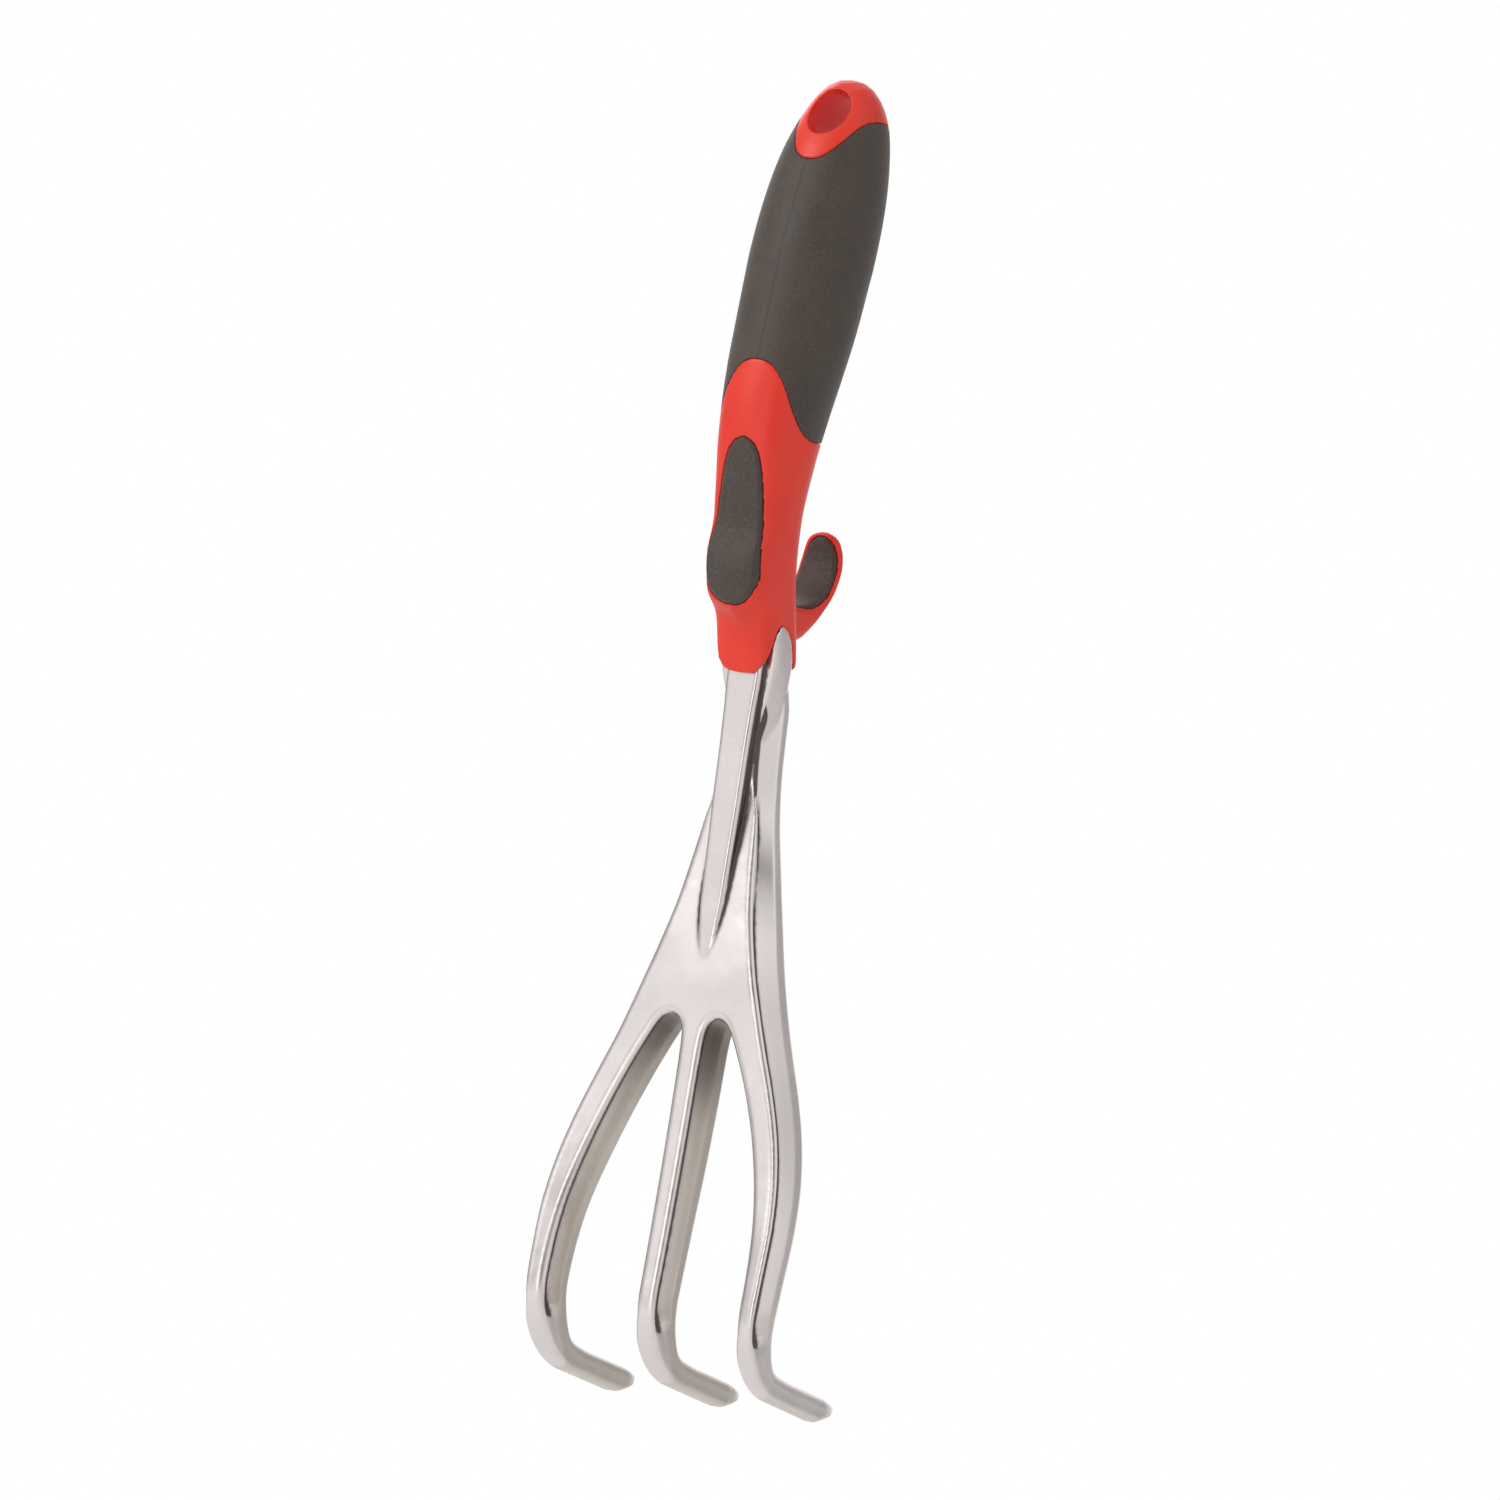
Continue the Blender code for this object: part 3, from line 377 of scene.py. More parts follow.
def layered_plate(outline, layers, place, front, back, spacing):
    """Closed shape whose edge follows layers of (inset, level), with a front and a back surface."""
    normals = inward_normals(outline)
    rings = [outline + normals * np.reshape(inset, (-1, 1)) for inset, _ in layers]
    points = [tuple(p) for ring, (_, level) in zip(rings, layers) for p in place(ring, level)]
    count = len(outline)
    faces = []
    for a in range(len(layers) - 1):
        for k in range(count):
            after = (k + 1) % count
            faces.append((a * count + k, a * count + after, (a + 1) * count + after, (a + 1) * count + k))
    for index, surface in ((0, front), (len(layers) - 1, back)):
        flat, triangles = cap_grid(rings[index], spacing)
        added = flat[count:]
        start = len(points) - count
        points += [tuple(p) for p in place(added, surface(added))]
        places = [index * count + k for k in range(count)] + [start + count + k for k in range(len(added))]
        faces += [tuple(places[k] for k in triangle) for triangle in triangles]
    return points, faces


def reach_at(angle, squareness):
    """How far a unit superellipse reaches from its centre, by angle."""
    return (np.abs(np.sin(angle)) ** squareness + np.abs(np.cos(angle)) ** squareness) ** (-1 / squareness)


def handle_section(height):
    """Centre in Y, half width, half depth and squareness of the handle at each height."""
    height = np.asarray(height, float)
    columns = [curve([(row[0], row[k]) for row in HANDLE_STATIONS], height) for k in (1, 2, 3, 4)]
    dome = np.clip((height - DOME_FOOT) / (HANDLE_TOP - DOME_FOOT), 0, 1)
    size = (1 - dome**DOME_SQUARENESS) ** (1 / DOME_SQUARENESS)
    centre = np.where(height > DOME_FOOT, curve(DOME_CENTRE, height), columns[0])
    return centre, columns[1] * size, columns[2] * size, columns[3]


def handle_skin(angle, height, inset=0.0):
    """Points on the handle's skin, by angle round from the thumb side and height, sunk by inset."""
    centre, half_x, half_y, square = handle_section(height)
    reach = reach_at(angle, square)
    rise = thumb_rest(angle, height)
    x = (half_x - inset) * reach * np.sin(angle)
    y = centre - (half_y - inset) * reach * np.cos(angle) - rise
    return np.stack([x, y, np.broadcast_to(height, x.shape)], axis=-1)


def thumb_rest(angle, height):
    """How far the thumb rest stands out; its foot curls up towards its sides."""
    turn = degrees_from_front(angle)
    share = 1 - smooth_step(THUMB_REST_FLAT, THUMB_REST_SPREAD, turn)
    return share * curve(THUMB_REST_RISE, height - THUMB_REST_CURL * turn)


def front_skin(flat, inset):
    """Points on the thumb side of the handle at (x, height), sunk by inset."""
    x, height = flat[:, 0], flat[:, 1]
    centre, half_x, half_y, square = handle_section(height)
    share = np.clip(np.abs(x) / half_x, 0, 0.98)
    depth = half_y * (1 - share**square) ** (1 / square)
    rise = thumb_rest(np.arctan2(x / half_x, depth / half_y), height)
    return np.stack([x, centre - depth - rise + inset, height], axis=-1)


def angles():
    return np.linspace(0, 2 * math.pi, AROUND, endpoint=False)


def edge_dip(angle, spread, power):
    """1 at the front, falling away over spread degrees."""
    return np.exp(-((degrees_from_front(angle) / spread) ** power))


def cap_edge(angle):
    both = sum(edge_dip(angle + turn, CAP_EDGE_SPREAD, CAP_EDGE_POWER) for turn in (0.0, math.pi))
    return CAP_EDGE_SIDE - CAP_EDGE_DIP * both


def throat_edge(angle):
    return THROAT_EDGE_BACK + THROAT_EDGE_RISE * edge_dip(angle, THROAT_EDGE_SPREAD, THROAT_EDGE_POWER)


def degrees_from_front(angle):
    return np.degrees(np.abs((angle + math.pi) % (2 * math.pi) - math.pi))


def skirt_edge(angle):
    return curve(SKIRT_EDGE, degrees_from_front(angle))


def bands(upper, lower, count):
    """Heights of count rings from upper to lower, which are heights for each angle."""
    return [upper + (lower - upper) * k / (count - 1) for k in range(count)]


def build_core_blank():
    """The red moulding before its recesses and sockets are cut."""
    round_ = angles()
    cap, throat, skirt = cap_edge(round_), throat_edge(round_), skirt_edge(round_)
    sunk = SLEEVE_THICKNESS + GAP
    rings = []
    for k in range(1, DOME_RINGS + 1):
        share = math.sin(k / DOME_RINGS * math.pi / 2) ** 2 * (1 - DOME_FIRST_SHARE) + DOME_FIRST_SHARE
        rings.append(handle_skin(round_, HANDLE_TOP + (cap - HANDLE_TOP) * share))
    rings += [handle_skin(round_, height, sunk) for height in bands(cap, throat, WAIST_RINGS)]
    rings += [handle_skin(round_, height) for height in bands(throat, skirt, THROAT_RINGS)]
    pole = (0.0, DOME_CENTRE[0][1], HANDLE_TOP)
    base = (0.0, handle_section(SKIRT_FOOT)[0], SKIRT_FOOT)
    return tube_of_rings(rings, first_pole=pole, last_pole=base)


def pad_outline(stations, step, margin=0.0):
    """Closed outline, anticlockwise, of a shape with these half widths, widened by margin."""
    heights = np.linspace(stations[0][0], stations[-1][0], OUTLINE_SAMPLES)
    right = np.stack([curve(stations, heights), heights], axis=1)
    outline = np.concatenate([right, right[::-1] * (-1, 1)])
    outline = resampled(np.concatenate([outline, outline[:1]]), step)[:-1][::-1]
    if turns_clockwise(outline):
        outline = outline[::-1]
    return outline - inward_normals(outline) * margin


def thumb_pad_shape(margin, proud, depth):
    """The thumb pad's shape, or its recess with a margin, from proud of the skin to depth."""
    outline = pad_outline(THUMB_PAD_HALF_WIDTH, THUMB_PAD_EDGE_STEP, margin)
    inset, drop = THUMB_PAD_ROUNDING
    layers = ((inset, -proud), (0.0, drop - proud), (0.0, depth))
    return layered_plate(
        outline,
        layers,
        front_skin,
        lambda flat: np.full(len(flat), -proud),
        lambda flat: np.full(len(flat), depth),
        THUMB_PAD_GRID_STEP,
    )


def hook_point(angle, radius, x):
    """A point of the finger hook: angle in degrees from straight back, up positive."""
    turn = np.radians(angle)
    y = HOOK_CENTRE[0] + radius * np.cos(turn)
    z = HOOK_CENTRE[1] + radius * np.sin(turn)
    return np.stack([x + 0 * y, y, z], axis=-1)


def hook_ring(angle, size, offset=0.0):
    """One rounded section across the hook, size 1 at full width."""
    thickness = float(curve(HOOK_THICKNESS, angle))
    round_ = np.linspace(0, 2 * math.pi, HOOK_SIDES, endpoint=False)
    reach = reach_at(round_, HOOK_SQUARENESS)
    thinning = min(1, HOOK_THINNEST_SHARE + (1 - HOOK_THINNEST_SHARE) * size)
    x = float(curve(HOOK_HALF_WIDTH, angle)) * size * reach * np.sin(round_)
    middle = HOOK_INNER_RADIUS + thickness / 2
    radius = middle + offset + thickness / 2 * reach * np.cos(round_) * thinning
    return hook_point(np.full(HOOK_SIDES, angle), radius, x)


def build_hook():
    rings = [hook_ring(angle, size) for angle, size in HOOK_TIP_RINGS]
    full = np.linspace(HOOK_FIRST_FULL_ANGLE, HOOK_ROOT_ANGLE, HOOK_RINGS)
    rings += [hook_ring(angle, 1.0) for angle in full]
    return mesh_object("hook", *tube_of_rings(rings))


def finger_pad_shape(margin, proud, depth):
    """The finger pad, laid on the hook's inner face; flat places are (x, angle in degrees)."""
    per_degree = math.radians(1) * HOOK_INNER_RADIUS
    scaled = tuple((angle * per_degree, width) for angle, width in FINGER_PAD_HALF_WIDTH)
    outline = pad_outline(scaled, FINGER_PAD_EDGE_STEP, margin)
    inset, drop = FINGER_PAD_ROUNDING
    layers = ((inset, proud), (0.0, proud - drop), (0.0, -depth))
    return layered_plate(
        outline,
        layers,
        lambda flat, level: hook_point(flat[:, 1] / per_degree, HOOK_INNER_RADIUS - level, flat[:, 0]),
        lambda flat: np.full(len(flat), proud),
        lambda flat: np.full(len(flat), -depth),
        FINGER_PAD_GRID_STEP,
    )


def front_line(travel):
    """Place (y, z) of the head's front line and its heading, as an angle forward of straight down."""
    lean = math.radians(LEAN_ANGLE)
    lean_length = BEND_START - LEAN_START
    turned = lean * np.clip(travel - LEAN_START, 0, lean_length) / lean_length
    lean_radius = lean_length / lean
    bent = np.clip((travel - BEND_START) / BEND_RADIUS, 0, math.radians(BEND_ANGLE))
    heading = turned - bent
    beyond = np.clip(travel - BEND_START - BEND_RADIUS * math.radians(BEND_ANGLE), 0, None)
    y = FRONT_Y - lean_radius * (1 - np.cos(turned)) + BEND_RADIUS * (np.cos(turned) - np.cos(heading))
    z = -np.minimum(travel, LEAN_START) - lean_radius * np.sin(turned)
    z += BEND_RADIUS * (np.sin(heading) - np.sin(turned))
    return y - np.sin(heading) * beyond, z - np.cos(heading) * beyond, heading


def splay(x, travel):
    """How far the outer tines swing forward of the front line."""
    return OUTER_TINE_SPLAY * (x / TINE_CENTRE) ** 2 * smooth_step(SPLAY_START, BEND_START, travel)


def head_place(flat, level):
    """Points of the head from (x, travel) and level, the depth behind the front line."""
    x, travel = flat[:, 0], flat[:, 1]
    y, z, heading = front_line(travel)
    place_y = y - splay(x, travel) + level * np.cos(heading)
    return np.stack([x, place_y, z - level * np.sin(heading)], axis=-1)


def tip_edge(centre, side):
    """One side of a tine's point, from its full width to the tip."""
    share = np.linspace(0, 1, TIP_EDGE_POINTS)
    half = TIP_HALF_WIDTH * np.cos(share * math.pi / 2) ** TIP_BLUNTNESS
    return np.stack([centre + side * half, TIP_START + TIP_LENGTH * share], axis=1)


def fork_outline():
    """Closed anticlockwise outline of palm and tines, and which points lie on its outer edge."""
    outer = smooth_path(OUTER_EDGE, OUTLINE_STEP)
    tip_out = tip_edge(OUTER_TIP_X, 1)[1:]
    tip_in = tip_edge(OUTER_TIP_X, -1)[1:-1][::-1]
    inner = smooth_path(INNER_EDGE[:12], OUTLINE_STEP)[:-1]
    crotch = smooth_path(INNER_EDGE[11:17], OUTLINE_STEP / 2)[:-1]
    middle = smooth_path(INNER_EDGE[16:], OUTLINE_STEP)
    tip_middle = tip_edge(0.0, 1)[1:]
    right = np.concatenate([outer, tip_out, tip_in, inner, crotch, middle, tip_middle])
    left = right[:-1][::-1] * (-1, 1)
    on_outer = np.arange(len(right)) < len(outer) + len(tip_out)
    outline = np.concatenate([right, left])
    outer_flags = np.concatenate([on_outer, on_outer[:-1][::-1]])
    if turns_clockwise(outline):
        return outline[::-1], outer_flags[::-1]
    return outline, outer_flags


def turns_clockwise(outline):
    after = np.roll(outline, -1, axis=0)
    return (outline[:, 0] * after[:, 1] - outline[:, 1] * after[:, 0]).sum() < 0


def head_front(travel):
    """Level of the palm's and tines' front face."""
    tip = np.clip((travel - TIP_START) / TIP_LENGTH, 0, 1)
    return curve(PALM_FRONT, travel) + TIP_BEVEL_FRONT * tip


def head_back(travel):
    tip = smooth_step(TIP_START, TIP_START + TIP_LENGTH, travel)
    return curve(DEPTH, travel) - TIP_BEVEL_BACK * tip


def build_fork():
    """Palm, tines and the back of the shank, with a channel along every side."""
    outline, on_outer = fork_outline()
    travel = outline[:, 1]
    front, back = head_front(travel), head_back(travel)
    from_ends = np.minimum((TIP_START + TIP_LENGTH - travel) / TIP_LENGTH, (travel - HEAD_TOP) / TOP_TAPER)
    edge = np.clip(from_ends, 0.06, 1)
    solid = smooth_step(*CHANNEL_END, travel)
    palm = smooth_step(*CHANNEL_TOP, travel)
    plate = np.where(on_outer, curve(FRONT_PLATE_INSET, travel), TINE_PLATE_INSET)
    plate = plate * (1 - solid) + 0.1 * solid * edge
    channel = CHANNEL_DEPTH * palm * (1 - solid)
    thin = np.clip((back - front) / 8.0, 0, 1)
    web = thin * (0.8 + 2.8 * palm)
    shoulder = np.maximum(0.61 * back + 0.9 * (1 - palm), front + web + 0.4 * thin)
    layers = (
        (plate + 1.7 * edge, front),
        (plate + 0.6 * edge, front + 0.12 * web),
        (plate, front + 0.32 * web),
        (plate, front + 0.6 * web),
        (plate + channel, front + web),
        (0.0 * plate, shoulder + 0.5 * thin),
        (0.0 * plate, back - 2.2 * thin),
        (0.5 * edge, back - 0.9 * thin),
        (1.6 * edge, back),
    )
    shape = layered_plate(
        outline,
        layers,
        head_place,
        lambda flat: head_front(flat[:, 1]),
        lambda flat: head_back(flat[:, 1]),
        OUTLINE_STEP * 1.4,
    )
    return mesh_object("fork", *shape)


def rib_sink(travel):
    """How far the rib's front sinks below the front line where it runs out."""
    return RIB_SINK * smooth_step(*RIB_SINK_TRAVEL, travel)


def build_rib():
    """The rib along the front of the shank, which runs out on the palm."""
    outline = pad_outline(RIB_HALF_WIDTH, OUTLINE_STEP)
    travel = outline[:, 1]
    share = np.clip(curve(RIB_HALF_WIDTH, travel) / RIB_ROUNDED_HALF_WIDTH, RIB_LEAST_ROUNDING, 1)
    sink = rib_sink(travel)
    layers = [(inset * share, sink + depth) for inset, depth in RIB_LAYERS]
    shape = layered_plate(
        outline,
        layers,
        head_place,
        lambda flat: rib_sink(flat[:, 1]),
        lambda flat: rib_sink(flat[:, 1]) + RIB_DEPTH,
        OUTLINE_STEP,
    )
    return mesh_object("rib", *shape)


def build_collar():
    """The top of the shank, which fills the ferrule's arches nearly flush with its skin."""
    round_ = angles()
    turn = degrees_from_front(round_)
    inset = curve(COLLAR_INSET, turn)
    radius = handle_section(SKIRT_FOOT)[1]
    arch = (skirt_edge(round_) - SKIRT_FOOT) * (1 - inset / radius)
    rings = []
    for height in bands(SKIRT_FOOT + arch - ARCH_GAP, COLLAR_FOOT, COLLAR_RINGS):
        taper = curve(COLLAR_TAPER, turn) * (1 - smooth_step(COLLAR_FOOT, COLLAR_TAPER_TOP, height))
        rings.append(handle_skin(round_, height, inset + taper))
    pole = (0.0, handle_section(SKIRT_FOOT)[0], SKIRT_FOOT - ARCH_GAP)
    return mesh_object("collar", *tube_of_rings(rings, first_pole=pole))


def section_loft(name, stations, squareness, margin=0.0):
    """A loft through sections of (height, centre in Y, half width, half depth)."""
    round_ = np.linspace(0, 2 * math.pi, LOFT_SIDES, endpoint=False)
    reach = reach_at(round_, squareness)
    rings = []
    for height, centre, half_x, half_y in stations:
        x = (half_x + margin) * reach * np.sin(round_)
        y = centre - (half_y + margin) * reach * np.cos(round_)
        rings.append(np.stack([x, y, np.full_like(x, height)], axis=-1))
    return mesh_object(name, *tube_of_rings(rings))


def tang_stations(margin=0.0):
    heights = np.linspace(TANG_STATIONS[0][0], TANG_STATIONS[-1][0], TANG_RINGS)
    columns = [curve([(row[0], row[k]) for row in TANG_STATIONS], heights) for k in (1, 2, 3)]
    stations = list(zip(heights, *columns))
    height, centre, half_x, half_y = stations[-1]
    stations[-1] = (height + margin, centre, half_x, half_y)
    return stations


def rod_along_y(name, radius, height, centre_y, length, tilt=0.0):
    """A cylinder along Y, its front end raised by tilt degrees."""
    bpy.ops.mesh.primitive_cylinder_add(
        vertices=ROD_SIDES,
        radius=radius * MM,
        depth=length * MM,
        location=(0, centre_y * MM, height * MM),
        rotation=(math.radians(90 - tilt), 0, 0),
    )
    rod = bpy.context.active_object
    rod.name = name
    return rod


def hang_hole():
    """The oval hang hole's cutter, its front end higher than its back end."""
    size = (HANG_HOLE_HALF_WIDTH, HANG_HOLE_CENTRE, 0.0, HANG_HOLE_CUT_LENGTH, HANG_HOLE_TILT)
    hole = rod_along_y("hang_hole", *size)
    hole.scale.y = HANG_HOLE_HALF_HEIGHT / HANG_HOLE_HALF_WIDTH
    return hole


def lock_rods(radius):
    """A rod along Y through each of the tang's locking holes."""
    centres = curve([(row[0], row[1]) for row in TANG_STATIONS], LOCK_HOLE_HEIGHTS)
    return [
        rod_along_y("lock_rod", radius, height, centre, LOCK_ROD_LENGTH)
        for height, centre in zip(LOCK_HOLE_HEIGHTS, centres)
    ]


def build_head(finish):
    head = build_fork()
    combine(head, build_rib(), "UNION")
    combine(head, build_collar(), "UNION")
    combine(head, section_loft("tang", tang_stations(), TANG_SQUARENESS), "UNION")
    for rod in lock_rods(LOCK_HOLE_RADIUS):
        combine(head, rod, "DIFFERENCE")
    head.name = "tine_head"
    head.data.materials.clear()
    head.data.materials.append(finish)
    return head


def cut_socket(core):
    """Cuts the room for the shank and the tang, leaving the plugs that lock the tang."""
    top, centre, half_x, half_y, squareness = SHANK_SOCKET
    shank = [(height, centre, half_x, half_y) for height in (top - SHANK_SOCKET_LENGTH, top)]
    combine(core, section_loft("shank_socket", shank, squareness), "DIFFERENCE")
    tang_socket = section_loft("tang_socket", tang_stations(GAP), TANG_SQUARENESS, GAP)
    for rod in lock_rods(LOCK_HOLE_RADIUS - GAP):
        combine(tang_socket, rod, "DIFFERENCE")
    combine(core, tang_socket, "DIFFERENCE")


def build_handle(finish):
    core = mesh_object("handle_core", *build_core_blank())
    combine(core, build_hook(), "UNION")
    cut_socket(core)
    combine(core, hang_hole(), "DIFFERENCE")
    thumb_recess = thumb_pad_shape(GAP, THUMB_RECESS_REACH, THUMB_PAD_THICKNESS + GAP)
    combine(core, mesh_object("thumb_recess", *thumb_recess), "DIFFERENCE")
    finger_recess = finger_pad_shape(GAP, FINGER_RECESS_REACH, FINGER_PAD_THICKNESS + GAP)
    combine(core, mesh_object("finger_recess", *finger_recess), "DIFFERENCE")
    core.data.materials.clear()
    core.data.materials.append(finish)
    return core


# Fine surface of each piece, in millimetres: voxel size, then rounds of smoothing.
HEAD_SURFACE = (0.36, 6)
CORE_SURFACE = (0.42, 4)
PAD_SURFACE = (0.22, 5)
PAD_MARGIN = 0.15
SEAM = 0.3 * GAP
LIP_ROUNDING = ((0.0, 0.3), (0.06, 0.12), (0.18, 0.04), (0.4, 0.0))
LIP_LENGTH = 1.0
SLEEVE_OUTER_RINGS = 64
SLEEVE_INNER_RINGS = 24

# Hollows, where shade is painted: rounds of averaging, and the depth in millimetres that counts as a full
# groove.
HEAD_HOLLOW_ROUNDS = 40
CORE_HOLLOW_ROUNDS = 24
FULL_HOLLOW = 0.6

# Painted shade in the metal's grooves, and its unpolished sides: each pair runs from no share to a full
# one, in millimetres or parts of a normal.
WALL_FACING = (0.5, 0.85)
WALL_WIDTH = (6.4, 5.6)
WALL_FRONT = (-11.2, -9.2)
WALL_BACK = (-5.0, -6.5)
WALL_TOP = (-143.0, -146.0)
WALL_FOOT = (-222.0, -196.0)
CHANNEL_FRONT = (1.0, 1.8)
CHANNEL_BACK = (4.6, 3.5)
CHANNEL_SIDEWAYS = (-0.85, -0.6)
CHANNEL_HEAD = (-206.0, -224.0)
CHANNEL_FOOT = (-330.0, -327.0)
OUTWARD_FACING = (0.3, 0.7)
OUTWARD_WIDTH = (6.0, 12.0)
OUTWARD_POLISH = 0.8
UNPOLISHED_BACK = (5.4, 7.6)
UNPOLISHED_HEAD = (-190.0, -240.0)
CROTCH_INSET = (2.0, 4.0)
CROTCH_FACING = (0.75, 0.4)
CROTCH_FOOT = (-290.0, -248.0)
CROTCH_HEAD = (-238.0, -242.0)
CROTCH_FRONT = (1.0, 2.5)
# Share of painted shade on the crotch's inner sides.
CROTCH_SHADE = 0.22

# Colours.
POLISHED = ((0.80, 0.742, 0.725, 1.0), (0.86, 0.805, 0.79, 1.0))
UNPOLISHED = (0.70, 0.64, 0.58, 1.0)
# Painted shade: the dark grey laid in the metal's grooves.
GROOVE_SHADE = (0.13, 0.109, 0.1, 1.0)
RED = ((0.80, 0.038, 0.02, 1.0), (0.86, 0.048, 0.027, 1.0))
# Painted shade: the darker red laid in the handle's hollows.
SHADED_RED = (0.42, 0.014, 0.01, 1.0)
RUBBER = ((0.052, 0.038, 0.029, 1.0), (0.07, 0.052, 0.041, 1.0))
RUBBER_SPECK = (0.12, 0.1, 0.088, 1.0)
PARTING_LINE = (0.02, 0.017, 0.015, 1.0)
FLOOR = ((0.86, 0.855, 0.85, 1.0), (0.9, 0.897, 0.893, 1.0))

# Brightness round the horizon, by share of a turn from -X through -Y, +X and +Y.
STUDIO_RING = (
    (0.0, 0.3), (0.08, 0.6), (0.165, 0.94), (0.24, 0.5), (0.29, 0.12), (0.345, 0.12), (0.40, 0.72),
    (0.47, 0.92), (0.55, 0.75), (0.61, 0.5), (0.70, 0.42), (0.77, 0.98), (0.79, 1.0), (0.88, 1.0),
    (0.93, 0.4), (1.0, 0.3),
)

# Camera and stage, in degrees and metres. The frame's centre is across and up from the origin.
CAMERA_AZIMUTH = 30.0
CAMERA_ROLL = 8.0
CAMERA_DISTANCE = 6.0
SENSOR_WIDTH = 36.0
FRAME_WIDTH = 0.402
FRAME_CENTRE = (-0.0011, -0.1712)
FLOOR_HEIGHT = -0.62
FLOOR_SIZE = 7.0
LIGHT_AIM = (0.0, 0.0, -0.17)

# Lights: name, place, size and power in watts.
LIGHTS = (
    ("key", (-0.9, -1.3, 0.9), (0.9, 0.9), 13.0),
    ("fill", (0.3, -1.7, -0.1), (0.5, 1.2), 3.0),
    ("rim", (-1.2, 0.9, 0.8), (0.6, 1.2), 4.0),
)


def modified(obj, kind, **settings):
    """Applies one modifier to obj."""
    modifier = obj.modifiers.new(kind.title(), kind)
    for key, value in settings.items():
        setattr(modifier, key, value)
    graph = bpy.context.evaluated_depsgraph_get()
    mesh = bpy.data.meshes.new_from_object(obj.evaluated_get(graph))
    obj.modifiers.clear()
    obj.data = mesh


def soften(obj, voxel, passes):
    """Remeshes a piece evenly and rounds its edges and inner corners."""
    modified(obj, "REMESH", mode="VOXEL", voxel_size=voxel * MM)
    modified(obj, "SMOOTH", factor=0.5, iterations=passes)
    obj.data.shade_smooth()


def points_and_normals(mesh):
    """Each vertex's place in millimetres and its normal."""
    count = len(mesh.vertices)
    points, normals = np.empty(count * 3), np.empty(count * 3)
    mesh.vertices.foreach_get("co", points)
    mesh.vertex_normals.foreach_get("vector", normals)
    return points.reshape(-1, 3) / MM, normals.reshape(-1, 3)


def store(mesh, name, values):
    """Keeps a number for each vertex, which a material reads by name."""
    layer = mesh.attributes.new(name, "FLOAT", "POINT")
    layer.data.foreach_set("value", np.clip(values, -1, 1).astype(np.float32))


def hollowness(mesh, rounds):
    """How sunken the surface is at each vertex, from -1 on a ridge to 1 in a groove; shade is painted by
    it.
    """
    points, normals = points_and_normals(mesh)
    count = len(points)
    edges = np.empty(len(mesh.edges) * 2, int)
    mesh.edges.foreach_get("vertices", edges)
    a, b = edges.reshape(-1, 2).T
    ends = np.concatenate([a, b])
    others = np.concatenate([b, a])
    near = np.bincount(ends, minlength=count)
    smooth = points
    for _ in range(rounds):
        sums = [np.bincount(ends, smooth[others, k], count) for k in range(3)]
        smooth = (np.stack(sums, axis=1) / near[:, None] + smooth) / 2
    return ((smooth - points) * normals).sum(axis=1) / FULL_HOLLOW


def rib_wall_shade(points, normals):
    """How much shade is painted on each point of the walls along the rib."""
    x, y, z = points.T
    facing = smooth_step(*WALL_FACING, normals[:, 0] * np.sign(x))
    near = smooth_step(*WALL_WIDTH, np.abs(x)) * smooth_step(*WALL_FRONT, y) * smooth_step(*WALL_BACK, y)
    along = smooth_step(*WALL_TOP, z) * smooth_step(*WALL_FOOT, z)
    return facing * near * along


def side_channels(points, normals):
    """Shares of painted shade in the channel under the front plate and on the crotch's inner sides, and of
    the unpolished sides behind it.
    """
    x, y, z = points.T
    front, _, _ = front_line(-z)
    width = np.abs(x)
    level = y - front + splay(x, -z) - curve(PALM_FRONT, -z)
    along = smooth_step(*CHANNEL_FOOT, z) * smooth_step(*CHANNEL_HEAD, z)
    sideways = smooth_step(*CHANNEL_SIDEWAYS, normals[:, 1])
    channel = smooth_step(*CHANNEL_FRONT, level) * smooth_step(*CHANNEL_BACK, level)
    outward = smooth_step(*OUTWARD_FACING, normals[:, 0] * np.sign(x)) * smooth_step(*OUTWARD_WIDTH, width)
    behind = smooth_step(*UNPOLISHED_BACK, level) * smooth_step(*UNPOLISHED_HEAD, z)
    outer = np.interp(-z, [row[1] for row in OUTER_EDGE], [row[0] for row in OUTER_EDGE])
    inner = smooth_step(*CROTCH_INSET, outer - width) * smooth_step(*CROTCH_FACING, np.abs(normals[:, 1]))
    crotch = smooth_step(*CROTCH_FOOT, z) * smooth_step(*CROTCH_HEAD, z) * smooth_step(*CROTCH_FRONT, level)
    # Painted shade in the channels and on the crotch's inner sides.
    painted_groove_shade = np.maximum(along * sideways * channel, CROTCH_SHADE * inner * crotch)
    return painted_groove_shade, behind * (1 - OUTWARD_POLISH * outward)


def take_place(obj, node, finish):
    """Puts a fine piece in a CAD node's place."""
    obj.name = "fine_" + node
    obj.data.materials.clear()
    obj.data.materials.append(finish)
    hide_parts(node)
    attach(obj, "root")


